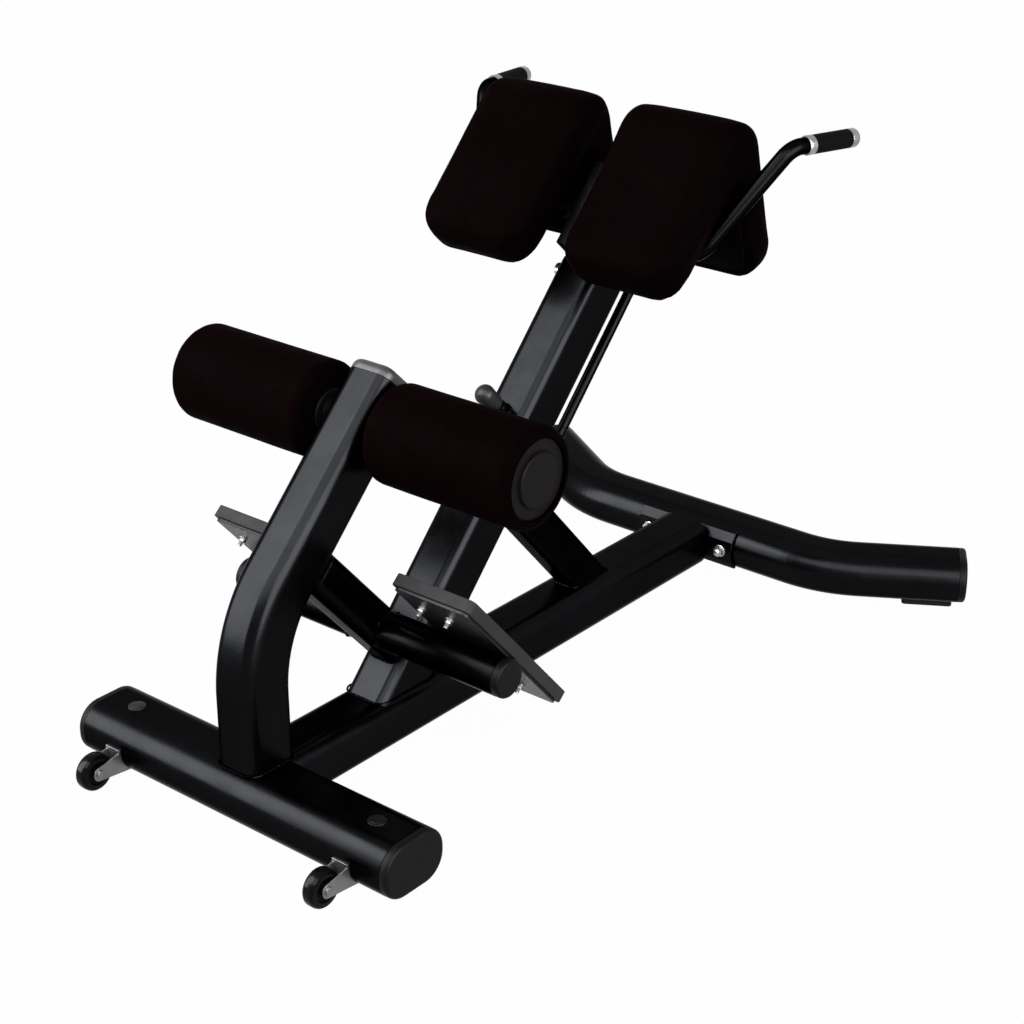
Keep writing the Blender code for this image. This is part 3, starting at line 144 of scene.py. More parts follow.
# dim and a lower edge make darker copies of this coat, which paint shade onto the pieces that wear
# them
def powderFinish(name, edge=powder["edge"], dim=1.0, weld=False):
    deep, pale = (tuple(c * dim for c in powder[shade]) for shade in ("colour", "pale"))
    made, tree, shader, coords = newFinish(name, deep,
                                           powder["roughness"], 1.0)
    shader.inputs["Specular Tint"].default_value = (edge, edge, edge, 1)
    mottled(tree, shader, "Base Color", speckle(tree, coords, *powder["cloud"]), deep, pale)
    mottled(tree, shader, "Roughness", speckle(tree, coords, *powder["haze"]), *powder["shine"])
    layers = [(speckle(tree, coords, *powder["peel"]), powder["peelDepth"])]
    if weld:
        layers.append((speckle(tree, coords, *powder["weld"]), powder["weldDepth"]))
    relief(tree, shader, layers)
    return made


plastic = {"lift": 1.35, "cloud": (14, 4), "haze": (60, 2), "spread": (-0.05, 0.07),
           "grain": (1100, 2)}


def plasticFinish(name, colour, roughness, specular, grainDepth=0.00006):
    made, tree, shader, coords = newFinish(name, colour, roughness, specular=specular)
    pale = tuple(c * plastic["lift"] for c in colour)
    mottled(tree, shader, "Base Color", speckle(tree, coords, *plastic["cloud"]), colour, pale)
    mottled(tree, shader, "Roughness", speckle(tree, coords, *plastic["haze"]),
            *(roughness + off for off in plastic["spread"]))
    relief(tree, shader, [(speckle(tree, coords, *plastic["grain"]), grainDepth)])
    return made


vinyl = {"colour": (0.0022, 0.0006, 0.0008), "pale": (0.0034, 0.0010, 0.0014), "roughness": 0.58,
         "specular": 0.002, "cloud": (9, 5), "haze": (45, 3), "spread": (-0.06, 0.08),
         "grain": 620, "grainDepth": 0.00014, "ripple": (16, 2), "rippleDepth": 0.0004}


def vinylFinish(name, roughness):
    made, tree, shader, coords = newFinish(name, vinyl["colour"], roughness,
                                           specular=vinyl["specular"])
    mottled(tree, shader, "Base Color", speckle(tree, coords, *vinyl["cloud"]),
            vinyl["colour"], vinyl["pale"])
    mottled(tree, shader, "Roughness", speckle(tree, coords, *vinyl["haze"]),
            *(roughness + off for off in vinyl["spread"]))
    relief(tree, shader, [(speckle(tree, coords, *vinyl["ripple"]), vinyl["rippleDepth"]),
                          (cells(tree, coords, vinyl["grain"]), vinyl["grainDepth"])])
    return made


metal = {"dull": 0.72, "cloud": (30, 4), "brush": (300, 4, 0.7), "brushDepth": 0.00002,
         "spread": (0.75, 1.3)}


def metalFinish(name, colour, roughness, stretch=(1, 1, 1)):
    made, tree, shader, coords = newFinish(name, colour, roughness, 1.0)
    dull = tuple(c * metal["dull"] for c in colour)
    mottled(tree, shader, "Base Color", speckle(tree, coords, *metal["cloud"]), dull, colour)
    brushed = speckle(tree, stretched(tree, coords, stretch), *metal["brush"])
    mottled(tree, shader, "Roughness", brushed, *(roughness * part for part in metal["spread"]))
    relief(tree, shader, [(brushed, metal["brushDepth"])])
    return made


powderCoat = powderFinish("powderCoat")
# the welds' coat is a darker copy of the powder coat with a lower edge tint: painted shade that
# hides the beads' highlights
weldCoatPaintedShade = powderFinish("weldCoatPaintedShade", 0.37, 0.4, weld=True)
# a copy of the powder coat with a lower edge tint, so it reflects less at a slant: painted shade on
# the brace, the strut and the pads' bracket
paintedShadeCoat = powderFinish("paintedShadeCoat", 0.30)
# a darker copy of the powder coat with a lower edge tint: painted shade that dims the highlights on
# the round tubes
tubeCoatPaintedShade = powderFinish("tubeCoatPaintedShade", 0.42, 0.48)
capPlastic = plasticFinish("capPlastic", (0.0062, 0.0052, 0.0054), 0.44, 0.04)
# the upright's cap: a lighter, glossier copy of the cap plastic, painted light on a top that faces
# the light from above
hoodPlasticPaintedLight = plasticFinish("hoodPlasticPaintedLight", (0.040, 0.040, 0.041), 0.40, 0.30)
discPlastic = plasticFinish("discPlastic", (0.0085, 0.0075, 0.0070), 0.50, 0.03)
# one plug plastic in two copies: the left one painted lighter and the right one painted darker,
# light and shade on the same plastic
plugPlastic = {"left": plasticFinish("plugPlasticLeftPaintedLight", (0.028, 0.028, 0.028), 0.44, 0.06),
               "right": plasticFinish("plugPlasticRightPaintedShade", (0.0060, 0.0060, 0.0060), 0.44, 0.05)}
hubPlastic = plasticFinish("hubPlastic", (0.0032, 0.0030, 0.0030), 0.44, 0.02)
knobPlastic = plasticFinish("knobPlastic", (0.016, 0.016, 0.017), 0.42, 0.14)
footRubber = plasticFinish("footRubber", (0.008, 0.008, 0.008), 0.78, 0.10, 0.00015)
treadRubber = plasticFinish("treadRubber", (0.030, 0.030, 0.032), 0.62, 0.09,
                            0.00018)
gripRubber = plasticFinish("gripRubber", (0.0050, 0.0048, 0.0048), 0.66, 0.015,
                           0.00015)
wheelRubber = plasticFinish("wheelRubber", (0.0032, 0.0030, 0.0030), 0.20, 0.05,
                            0.00002)
padVinyl = vinylFinish("padVinyl", vinyl["roughness"])
foamSkin = vinylFinish("foamSkin", vinyl["roughness"] + 0.06)
brightSteel = metalFinish("brightSteel", (0.70, 0.70, 0.71), 0.20)
ringSteel = metalFinish("ringSteel", (0.30, 0.30, 0.305), 0.26)
zincPlate = metalFinish("zincPlate", (0.46, 0.45, 0.44), 0.30, (1, 1, 4))
dullZinc = metalFinish("dullZinc", (0.17, 0.165, 0.165), 0.38, (1, 1, 4))
plateSteel = metalFinish("plateSteel", (0.015, 0.015, 0.017), 0.42)
print("stage 2: the finishes are mixed")


# shapes, made with bmesh operators

def meshOf(name, bm):
    mesh = bpy.data.meshes.new(name)
    bm.to_mesh(mesh)
    bm.free()
    return mesh


def linked(name, data):
    made = bpy.data.objects.new(name, data)
    bpy.context.scene.collection.objects.link(made)
    return made


def addPiece(name, bm, finish, body, replaced=(), edge=0.0, angle=35):
    mesh = meshOf(name, bm)
    mesh.materials.append(finish)
    mesh.shade_smooth()
    mesh.set_sharp_from_angle(angle=math.radians(angle))
    piece = linked(name, mesh)
    if edge:
        rim = piece.modifiers.new("rim", "BEVEL")
        rim.width = edge
        rim.segments = 2
        rim.limit_method = "ANGLE"
        rim.angle_limit = math.radians(angle)
    flat = piece.modifiers.new("flat", "WEIGHTED_NORMAL")
    flat.keep_sharp = True
    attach(piece, body)
    if replaced:
        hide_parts(*replaced)
    return piece


def rounded(bm, geom, offset, segments, affect="EDGES"):
    bmesh.ops.bevel(bm, geom=geom, offset=offset, affect=affect, segments=segments, profile=0.5,
                    material=-1)


def edgesAlong(bm, heading):
    # the edges that run along a heading, either way
    return [e for e in bm.edges
            if abs((e.verts[0].co - e.verts[1].co).normalized().dot(heading)) > 0.99]


def placed(point, heading, side=across):
    # a place whose Z is the heading and whose X is as near to side as it can be
    heading = heading.normalized()
    if abs(heading.dot(side)) > 0.99:
        side = zenith
    side = (side - heading * side.dot(heading)).normalized()
    made = Matrix((side, heading.cross(side), heading)).transposed().to_4x4()
    made.translation = point
    return made


def endFace(bm, size, place):
    # the flat end of a bar: round if it has a radius, or a rectangle with round corners
    if "radius" in size:
        bmesh.ops.create_circle(bm, cap_ends=True, segments=size.get("segments", 32),
                                radius=size["radius"], matrix=place)
    else:
        bmesh.ops.create_grid(bm, x_segments=1, y_segments=1, size=0.5)
        bmesh.ops.scale(bm, vec=(size["width"], size["height"], 1), verts=bm.verts)
        rounded(bm, bm.verts[:], size["corner"], size.get("segments", 8), "VERTICES")
        bmesh.ops.transform(bm, matrix=place, verts=bm.verts)
    return bm.faces[:][0]


def pushed(bm, face, shift):
    made = bmesh.ops.extrude_face_region(bm, geom=[face])["geom"]
    face = [g for g in made if isinstance(g, bmesh.types.BMFace)][0]
    bmesh.ops.translate(bm, vec=shift, verts=face.verts)
    return face


def barAlong(size, points, bends=(), steps=12, side=across):
    # a bar through the points, with an arc of the given radius at each inner one
    bm = bmesh.new()
    place = points[0]
    heading = (points[1] - place).normalized()
    face = endFace(bm, size, placed(place, heading, side))
    for corner, after, radius in zip(points[1:], points[2:], bends):
        wayOut = (after - corner).normalized()
        turn = heading.angle(wayOut)
        start = corner - heading * radius * math.tan(turn / 2)
        face = pushed(bm, face, start - place)
        axis = heading.cross(wayOut).normalized()
        centre = start + axis.cross(heading) * radius
        step = Matrix.Rotation(turn / steps, 3, axis)
        for _ in range(steps):
            face = pushed(bm, face, Vector((0, 0, 0)))
            bmesh.ops.rotate(bm, cent=centre, matrix=step, verts=face.verts)
        place = centre + Matrix.Rotation(turn, 3, axis) @ (start - centre)
        heading = wayOut
    face = pushed(bm, face, points[-1] - place)
    bmesh.ops.recalc_face_normals(bm, faces=bm.faces)
    return bm


def spun(bm, profile, place, segments=48, ring=False):
    # turns a line of (radius, height) points about the place's Z
    verts = [bm.verts.new(place @ Vector((r, 0, z))) for r, z in profile]
    pairs = list(zip(verts, verts[1:])) + ([(verts[-1], verts[0])] if ring else [])
    edges = [bm.edges.new(pair) for pair in pairs]
    axis = place.to_3x3() @ zenith
    bmesh.ops.spin(bm, geom=verts + edges, cent=place.translation, axis=axis, angle=2 * math.pi,
                   steps=segments, use_merge=True)
    bmesh.ops.remove_doubles(bm, verts=bm.verts, dist=0.00001)
    bmesh.ops.recalc_face_normals(bm, faces=bm.faces)
    return bm


def added(bm, part):
    # joins a separately made body to the mesh
    scrap = meshOf("scrap", part)
    bm.from_mesh(scrap)
    bpy.data.meshes.remove(scrap)
    return bm


def block(bm, low, high, place=Matrix.Identity(4), corner=0.0):
    # a plate between two opposite corners, its upright edges rounded
    low, high = Vector(low), Vector(high)
    part = bmesh.new()
    bmesh.ops.create_cube(part, size=1, matrix=Matrix.Translation((low + high) / 2)
                          @ Matrix.Diagonal((*(high - low), 1)))
    if corner:
        rounded(part, edgesAlong(part, zenith), corner, 6)
    bmesh.ops.transform(part, matrix=place, verts=part.verts)
    return added(bm, part)


def copyOf(node):
    # a node's loose triangles, merged into a clean skin
    bm = bmesh.new()
    bm.from_mesh(nodes[node].data)
    bmesh.ops.remove_doubles(bm, verts=bm.verts, dist=0.00001)
    bmesh.ops.dissolve_limit(bm, angle_limit=math.radians(0.5), verts=bm.verts, edges=bm.edges)
    return bm


def refined(node, finish, edge):
    return addPiece(f"{node}_shell", copyOf(node), finish, "frame", (node,), edge)


# a weld bead, and how high and how often it ripples
bead = {"radius": 0.0016, "step": 0.0022, "ripples": ((0.13, 1.7), (0.06, 0.31))}


def weldBead(name, size, place):
    # a rippled bead that follows an outline lying in the place's plane
    bm = bmesh.new()
    face = endFace(bm, {**size, "segments": size.get("segments", 8)}, place)
    ring = [v.co.copy() for v in face.verts]
    bm.free()
    spots = []
    for start, end in zip(ring, ring[1:] + ring[:1]):
        count = max(1, round((end - start).length / bead["step"]))
        spots += [start.lerp(end, i / count) for i in range(count)]
    curve = bpy.data.curves.new(name, "CURVE")
    curve.dimensions = "3D"
    curve.bevel_depth = bead["radius"]
    curve.bevel_resolution = 2
    line = curve.splines.new("POLY")
    line.points.add(len(spots) - 1)
    line.use_cyclic_u = True
    for i, (point, spot) in enumerate(zip(line.points, spots)):
        short, long = (high * math.sin(i * often) for high, often in bead["ripples"])
        point.co = (*spot, 1)
        point.radius = 1 + short + long
    drawn = linked(name, curve)
    bpy.context.view_layer.update()
    bm = bmesh.new()
    bm.from_mesh(drawn.evaluated_get(bpy.context.evaluated_depsgraph_get()).to_mesh())
    bpy.data.objects.remove(drawn)
    # the bead wears the darker copy of the coat, painted shade
    return addPiece(name, bm, weldCoatPaintedShade, "frame")


def meeting(point, heading, other, otherHeading):
    # how far along one line in the side view another line is met
    apart = other - point
    turn = heading.y * otherHeading.z - heading.z * otherHeading.y
    return (apart.y * otherHeading.z - apart.z * otherHeading.y) / turn


# a thread's pitch and root, a nut's corners and chamfer, and a washer beside its nut
hardware = {"pitch": 0.0012, "crest": 0.35, "valley": 0.75, "root": 0.88, "flats": 0.93,
            "chamfer": 0.1, "washer": 1.25, "washerThick": 0.0008}


def stud(bm, place, radius, length):
    # a threaded rod along the place's Z
    pitch = hardware["pitch"]
    profile = [(0, 0), (radius, 0)]
    for i in range(int(length / pitch)):
        profile += [(radius, (i + hardware["crest"]) * pitch),
                    (radius * hardware["root"], (i + hardware["valley"]) * pitch)]
    profile += [(radius * 0.9, length - 0.0003), (radius * 0.6, length), (0, length)]
    return spun(bm, profile, place, 16)


def nut(bm, place, radius, height):
    reach = radius / hardware["flats"]
    made = bmesh.ops.create_cone(bm, cap_ends=True, segments=6, radius1=reach, radius2=reach,
                                 depth=height,
                                 matrix=place @ Matrix.Translation((0, 0, height / 2)))
    edges = list({e for v in made["verts"] for e in v.link_edges})
    rounded(bm, edges, height * hardware["chamfer"], 2)
    return bm


def fastener(name, place, replaced, bolt):
    # a nut on its washer, with the bolt's end standing proud
    hole, wide, thick = bolt["radius"], bolt["nut"] * hardware["washer"], hardware["washerThick"]
    bm = spun(bmesh.new(), [(hole, 0), (wide, 0), (wide, thick * 0.7), (wide * 0.97, thick),
                            (hole, thick)], place, 32, ring=True)
    nut(bm, place @ Matrix.Translation((0, 0, thick)), bolt["nut"], bolt["height"])
    stud(bm, place, bolt["radius"], bolt["proud"])
    return addPiece(name, bm, zincPlate, "frame", replaced, angle=28)


capDepth = 0.0135
capShrink = 0.0002


def endCap(name, size, place, node, depth=capDepth, rim=0.006, finish=capPlastic):
    # a moulded cap: a short lip on the tube's end and a softly rounded face
    bm = bmesh.new()
    heading = place.to_3x3() @ zenith
    small = {**size}
    if "radius" in small:
        small["radius"] -= capShrink
    else:
        small["width"] -= 2 * capShrink
        small["height"] -= 2 * capShrink
    face = endFace(bm, small, Matrix.Translation(heading * slitGap * 2) @ place)
    face = pushed(bm, face, heading * (depth - slitGap * 2))
    rounded(bm, face.edges[:], rim, 6)
    bmesh.ops.recalc_face_normals(bm, faces=bm.faces)
    return addPiece(name, bm, finish, "frame", (node,), 0.0004, 50)


# the floor frame

feet = {"width": 0.117, "height": 0.082, "corner": 0.0375, "segments": 12}
rearFoot = {"width": 0.108, "height": 0.079, "corner": 0.0375, "segments": 12, "y": 1.111,
            "straight": 0.192, "bend": 0.204, "sweep": math.radians(31.8), "leg": 0.1655}
footZ = 0.052
frontTop = 0.0935
footHalf = 0.2945
footPlug = {"inset": 0.0545, "z": 0.093,
            "profile": ((0, 0), (0.0135, 0), (0.0135, 0.0006), (0.0128, 0.0016), (0.0108, 0.0023),
                        (0.0100, 0.0019), (0.0094, 0.0019), (0.0086, 0.0026), (0.0045, 0.0030),
                        (0, 0.0030))}


def floorFrame():
    ends = [at(-footHalf, 0, footZ), at(footHalf, 0, footZ)]
    along = Vector((0, 1, 0))
    addPiece("front_foot_skin", barAlong(feet, ends, side=along), powderCoat, "frame",
             ("front_foot_tube",))
    for side, sign in sides.items():
        endCap(f"front_foot_end_{side}", feet, placed(ends[sign > 0], across * sign, along),
               f"front_foot_cap_{side}")
        spot = placed(at(sign * (footHalf - footPlug["inset"]), 0, footPlug["z"]), zenith)
        # each side's plug gets its copy, with painted light on the left and painted shade on the
        # right
        addPiece(f"front_foot_plug_{side}", spun(bmesh.new(), footPlug["profile"], spot),
                 plugPlastic[side], "frame", (f"front_plug_{side}",))
    sweep = rearFoot["sweep"]
    bend = rearFoot["bend"] * math.tan(sweep / 2)
    leg = Vector((math.cos(sweep), math.sin(sweep), 0)) * (rearFoot["leg"] + bend)
    corner = at(rearFoot["straight"] + bend, rearFoot["y"], footZ)
    right = [corner, corner + leg]
    points = [Vector((-p.x, p.y, p.z)) for p in reversed(right)] + right
    skin = barAlong(rearFoot, points, (rearFoot["bend"],) * 2, side=along)
    addPiece("rear_foot_skin", skin, powderCoat, "frame", ("rear_foot_tube",))
    for side, sign in sides.items():
        heading = Vector((sign * leg.x, leg.y, 0)).normalized()
        endCap(f"rear_foot_end_{side}", rearFoot, placed(points[-(sign > 0)], heading, along),
               f"rear_foot_cap_{side}")
        refined(f"front_rubber_{side}", footRubber, edge=0.0012)
        refined(f"rear_rubber_{side}", footRubber, edge=0.0012)


spine = {"width": 0.092, "height": 0.082, "corner": 0.023, "z": 0.054, "start": 0.034}
spineTop = spine["z"] + spine["height"] / 2
saddleFace = rearFoot["y"] - rearFoot["width"] / 2 - 0.0066  # the saddle plate's front
column = {"width": 0.0755, "height": 0.089, "corner": 0.020, "y": 0.0092, "kneeZ": 0.290,
          "lean": math.radians(45.54), "bend": 0.225, "toAxle": 0.3365, "pastAxle": 0.060,
          "cap": 0.018, "capRim": 0.012}
columnUp = Vector((0, math.cos(column["lean"]), math.sin(column["lean"])))
knee = at(0, column["y"], column["kneeZ"])
axle = knee + columnUp * column["toAxle"]
post = {"width": 0.078, "height": 0.090, "corner": 0.0175, "top": 0.836}
brace = {"width": 0.066, "height": 0.063, "corner": 0.020, "angle": math.radians(48.5)}
strut = {"width": 0.044, "height": 0.068, "corner": 0.010, "angle": math.radians(48.0),
         "y": 0.754, "sunk": 0.03}
footBar = {"radius": 0.0293, "segments": 48, "y": 0.2544, "z": 0.2063, "half": 0.2475,
           "capRim": 0.005}
barCentre = at(0, footBar["y"], footBar["z"])
braceDown = Vector((0, math.cos(brace["angle"]), -math.sin(brace["angle"])))
strutDown = Vector((0, math.cos(strut["angle"]), -math.sin(strut["angle"])))
strutFoot = at(0, strut["y"], spineTop)
sunk = 0.02  # how far an arm's end runs into the tube that it meets

# the post's own axes, as its node has them: Z up along it and -Y to its front
onPostAxes = Matrix((across, -postOut, postUp)).transposed().to_4x4()
onPostAxes.translation = onPost(0, 0)
postLugS = meeting(onPost(0, 0), postUp, strutFoot, strutDown) + 0.038  # above the strut
lug = {"half": 0.018, "reach": 0.1235, "thick": 0.006, "corner": 0.012, "sunk": 0.004}


def withLug(bm, tube, s):
    # a flat lug behind a slanting tube, for one end of the gas spring
    return block(bm, (-lug["half"], tube["height"] / 2 - lug["sunk"], s),
                 (lug["half"], lug["reach"], s + lug["thick"]), onPostAxes, lug["corner"])


def weldedTubes():
    line = [at(0, spine["start"], spine["z"]), at(0, saddleFace, spine["z"])]
    addPiece("spine_skin", barAlong(spine, line), powderCoat, "frame", ("spine_tube",))
    top = axle + columnUp * column["pastAxle"]
    rising = barAlong(column, [at(0, column["y"], footZ), knee, top], (column["bend"],), 44)
    addPiece("upright_skin", rising, powderCoat, "frame", ("upright_tube",))
    # the upright's cap wears the lighter copy of the plastic: painted light
    endCap("upright_end", column, placed(top, columnUp), "upright_cap", column["cap"],
           column["capRim"], hoodPlasticPaintedLight)
    line = [onPost(spine["z"] / math.sin(slope["angle"]), 0), onPost(post["top"], 0)]
    skin = withLug(barAlong(post, line), post, postLugS)
    addPiece("post_skin", skin, powderCoat, "frame", ("post_tube",), 0.0008)
    start = barCentre - braceDown * (meeting(barCentre, -braceDown, knee, columnUp) - sunk)
    end = barCentre + braceDown * (meeting(barCentre, braceDown, onPost(0, 0), postUp) - sunk)
    # the brace and the strut wear the copy of the coat with painted shade
    addPiece("brace_skin", barAlong(brace, [start, end]), paintedShadeCoat, "frame", ("brace_arm",))
    length = meeting(strutFoot, -strutDown, onPost(0, 0), postUp) - sunk
    line = [strutFoot - strutDown * length, strutFoot + strutDown * strut["sunk"]]
    addPiece("strut_skin", barAlong(strut, line), paintedShadeCoat, "frame", ("strut_tube",))
    half = across * footBar["half"]
    # the foot bar wears the darker copy of the coat: painted shade
    addPiece("foot_bar_skin", barAlong(footBar, [barCentre - half, barCentre + half]), tubeCoatPaintedShade,
             "frame", ("foot_bar_left", "foot_bar_right"))
    for side, sign in sides.items():
        endCap(f"foot_bar_end_{side}", footBar, placed(barCentre + half * sign, across * sign),
               f"foot_bar_cap_{side}", rim=footBar["capRim"])


def footprint(tube, sine=1.0, more=0.002):
    # a tube's outline on a face that it meets, stretched by its slant and a little larger
    return {"width": tube["width"] + more, "height": tube["height"] / sine + more,
            "corner": tube["corner"]}


def weldBeads():
    weldBead("weld_upright_foot", footprint(column), placed(at(0, column["y"], frontTop), zenith))
    sine = math.sin(slope["angle"])
    weldBead("weld_post_spine", footprint(post, sine), placed(onPost(spineTop / sine, 0), zenith))
    weldBead("weld_strut_spine", footprint(strut, math.sin(strut["angle"])),
             placed(strutFoot, zenith))
    for name, tube, line, heading, wall, normal, depth in (
            ("upright", brace, barCentre, -braceDown, knee, columnUp, column["height"]),
            ("post_front", brace, barCentre, braceDown, onPost(0, 0), postUp, post["height"]),
            ("post_rear", strut, strutFoot, -strutDown, onPost(0, 0), postUp, post["height"])):
        normal = Vector((0, -normal.z, normal.y))
        facing = 1 if normal.dot(heading) < 0 else -1
        face = wall + normal * facing * depth / 2
        spot = line + heading * meeting(line, heading, face, Vector((0, normal.z, -normal.y)))
        weldBead(f"weld_{name}", footprint(tube, abs(normal.dot(heading)), 0.001),
                 placed(spot, normal * facing))
    for side, sign in sides.items():
        weldBead(f"weld_foot_bar_{side}", {"radius": footBar["radius"] + 0.001},
                 placed(barCentre + across * sign * brace["width"] / 2, across * sign))


saddleBolt = {"x": 0.076, "radius": 0.005, "nut": 0.0085, "height": 0.0078, "proud": 0.0135}


def saddle():
    refined("saddle_plate", powderCoat, edge=0.001)
    for side, sign in sides.items():
        spot = placed(at(sign * saddleBolt["x"], saddleFace, footZ), Vector((0, -1, 0)))
        fastener(f"saddle_nut_{side}", spot, (f"saddle_bolt_{side}",), saddleBolt)


floorFrame()
weldedTubes()
weldBeads()
saddle()
print("stage 3: the floor frame is dressed")


# foot plates: y runs down along the plate from the bar, z stands off it

plateAxes = Matrix((across, braceDown, braceDown.cross(across) * -1)).transposed().to_4x4()
plateAxes.translation = barCentre
tread = {"inner": 0.107, "outer": 0.250, "front": -0.149, "rear": 0.162, "low": 0.0309,
         "top": 0.0504, "corner": 0.010, "ribs": 26, "ribWidth": 0.0052, "ribHeight": 0.0014,
         "ribSunk": 0.004, "ribSide": 0.009, "ribEnd": 0.006}
plate = {"margin": 0.005, "low": 0.0261, "top": 0.0306, "corner": 0.010}
plateBolt = {"radius": 0.0035, "nut": 0.0056, "height": 0.0050, "proud": 0.013,
             "spots": ((0.031, 0.053), (0.079, 0.058), (0.088, 0.275))}


def footPlates():
    for side, sign in sides.items():
        low, high = sorted((sign * tread["inner"], sign * tread["outer"]))
        pad = block(bmesh.new(), (low, tread["front"], tread["low"]),
                    (high, tread["rear"], tread["top"] - tread["ribHeight"]),
                    corner=tread["corner"])
        pitch = (tread["rear"] - tread["front"] - 2 * tread["ribEnd"]) / tread["ribs"]
        for i in range(tread["ribs"]):
            y = tread["front"] + tread["ribEnd"] + pitch * (i + 0.5)
            block(pad, (low + tread["ribSide"], y - tread["ribWidth"] / 2,
                        tread["top"] - tread["ribSunk"]),
                  (high - tread["ribSide"], y + tread["ribWidth"] / 2, tread["top"]))
        bmesh.ops.transform(pad, matrix=plateAxes, verts=pad.verts)
        addPiece(f"tread_{side}", pad, treadRubber, "frame", (f"foot_tread_{side}",), 0.0009)
        margin = plate["margin"]
        sheet = block(bmesh.new(), (low + margin, tread["front"] + margin, plate["low"]),
                      (high - margin, tread["rear"] - margin, plate["top"]),
                      plateAxes, plate["corner"])
        addPiece(f"plate_{side}", sheet, plateSteel, "frame", (f"foot_plate_{side}",), 0.0006)
        names = ("inner", "outer") if sign > 0 else ("outer", "inner")
        for (x, y), spot in zip(plateBolt["spots"], (*names, None)):
            shift = Matrix.Translation((low + x, y + tread["front"], plate["low"]))
            place = plateAxes @ shift @ Matrix.Rotation(math.pi, 4, "X")
            covered = (f"tread_bolt_{spot}_{side}",) if spot else ()
            fastener(f"plate_nut_{spot or 'rear'}_{side}", place, covered, plateBolt)


footPlates()


# transport wheels on the front foot

wheel = {"x": footHalf - 0.0666, "y": -0.0983, "z": 0.0337, "radius": 0.0285, "half": 0.010,
         "hub": 0.0175}


def transportWheels():
    for side, sign in sides.items():
        refined(f"wheel_bracket_{side}", dullZinc, edge=0.0005)
        place = placed(at(sign * wheel["x"], wheel["y"], wheel["z"]), across)
        r, half = wheel["radius"], wheel["half"]
        rim = [(wheel["hub"], half - 0.0022), (wheel["hub"] + 0.0012, half), (r - 0.0052, half),
               (r - 0.0024, half - 0.0008), (r - 0.0007, half - 0.0030), (r, half - 0.0060)]
        tyre = rim + [(radius, -z) for radius, z in reversed(rim)]
        addPiece(f"wheel_tyre_{side}", spun(bmesh.new(), tyre, place, 64, ring=True),
                 wheelRubber, f"wheel_{side}", (f"transport_wheel_{side}",))
        dish = [(0.0048, half), (0.0078, half), (0.0086, half - 0.0006), (0.0092, half - 0.0032),
                (wheel["hub"] - 0.0018, half - 0.0032), (wheel["hub"], half - 0.0022)]
        core = dish + [(radius, -z) for radius, z in reversed(dish)]
        addPiece(f"wheel_hub_{side}", spun(bmesh.new(), core, place, ring=True), hubPlastic,
                 f"wheel_{side}")


transportWheels()
print("stage 4: foot plates and wheels are on")


# rollers on their axle

roller = {"radius": 0.0733, "inner": 0.061, "outer": 0.319, "edge": 0.0145, "bore": 0.0132,
          "pocket": 0.0578, "seat": 0.3095, "around": 96, "along": 40, "arc": 8,
          "pucker": 0.00035, "gather": 0.022, "gatherMore": 1.6, "wave": (20, 34),
          "fine": (14, 150), "fill": 0.9}
disc = {"radius": 0.0572, "ring": 0.0385, "thick": 0.0040, "boss": 0.0055}
# (radius, distance from the middle) along the axle's bar and round a flange
barHalf = [(0, 0.299), (0.0118, 0.299), (0.0125, 0.2983), (0.0125, 0.0604), (0.0172, 0.0604),
           (0.0172, 0.0570), (0.0125, 0.0566), (0.0125, 0.0381)]
flange = [(0.0127, 0.0381), (0.0200, 0.0381), (0.0200, 0.0465), (0.0214, 0.0470),
          (0.0214, 0.0500), (0.0200, 0.0505), (0.0200, 0.0556), (0.0208, 0.0564),
          (0.0332, 0.0564), (0.0340, 0.0572), (0.0340, 0.0594), (0.0332, 0.0603),
          (0.0175, 0.0603), (0.0175, 0.0568), (0.0127, 0.0564)]


def rollerSkin(side, sign):
    inner, outer, edge = roller["inner"], roller["outer"], roller["edge"]
    turns = [math.radians(90 * i / roller["arc"]) for i in range(roller["arc"] + 1)]
    corner = [(roller["radius"] - edge * (1 - math.sin(turn)), inner + edge * (1 - math.cos(turn)))
              for turn in turns]
    spots = corner + [(roller["radius"], inner + edge + (outer - inner - 2 * edge) * i
                       / roller["along"]) for i in range(1, roller["along"])]
    spots += [(r, inner + outer - z) for r, z in reversed(corner)]
    spots += [(roller["pocket"], outer), (roller["pocket"], roller["seat"])]
    spots += [(roller["bore"], roller["seat"]), (roller["bore"], inner)]
    bm = spun(bmesh.new(), spots, placed(axle, across * sign), roller["around"], ring=True)
    for v in bm.verts:
        off = v.co - axle
        reach = math.hypot(off.y, off.z)
        if reach > roller["radius"] * 0.8:
            fromEnd = min(abs(off.x) - inner, outer - abs(off.x))
            gather = math.exp(-max(fromEnd, 0) / roller["gather"])
            spot, fineSpot = (Vector((off.x * run, off.y * turn, off.z * turn))
                              for run, turn in (roller["wave"], roller["fine"]))
            wave = noise.noise(spot + Vector((sign * 9, 0, 0)))
            fine = noise.noise(fineSpot)
            drop = roller["pucker"] * (wave + gather * fine * roller["gatherMore"])
            drop -= roller["pucker"]
            v.co += Vector((0, off.y, off.z)) / reach * drop
    made = addPiece(f"roller_cover_{side}", bm, foamSkin, f"roller_{side}", (f"roller_{side}",),
                    angle=60)


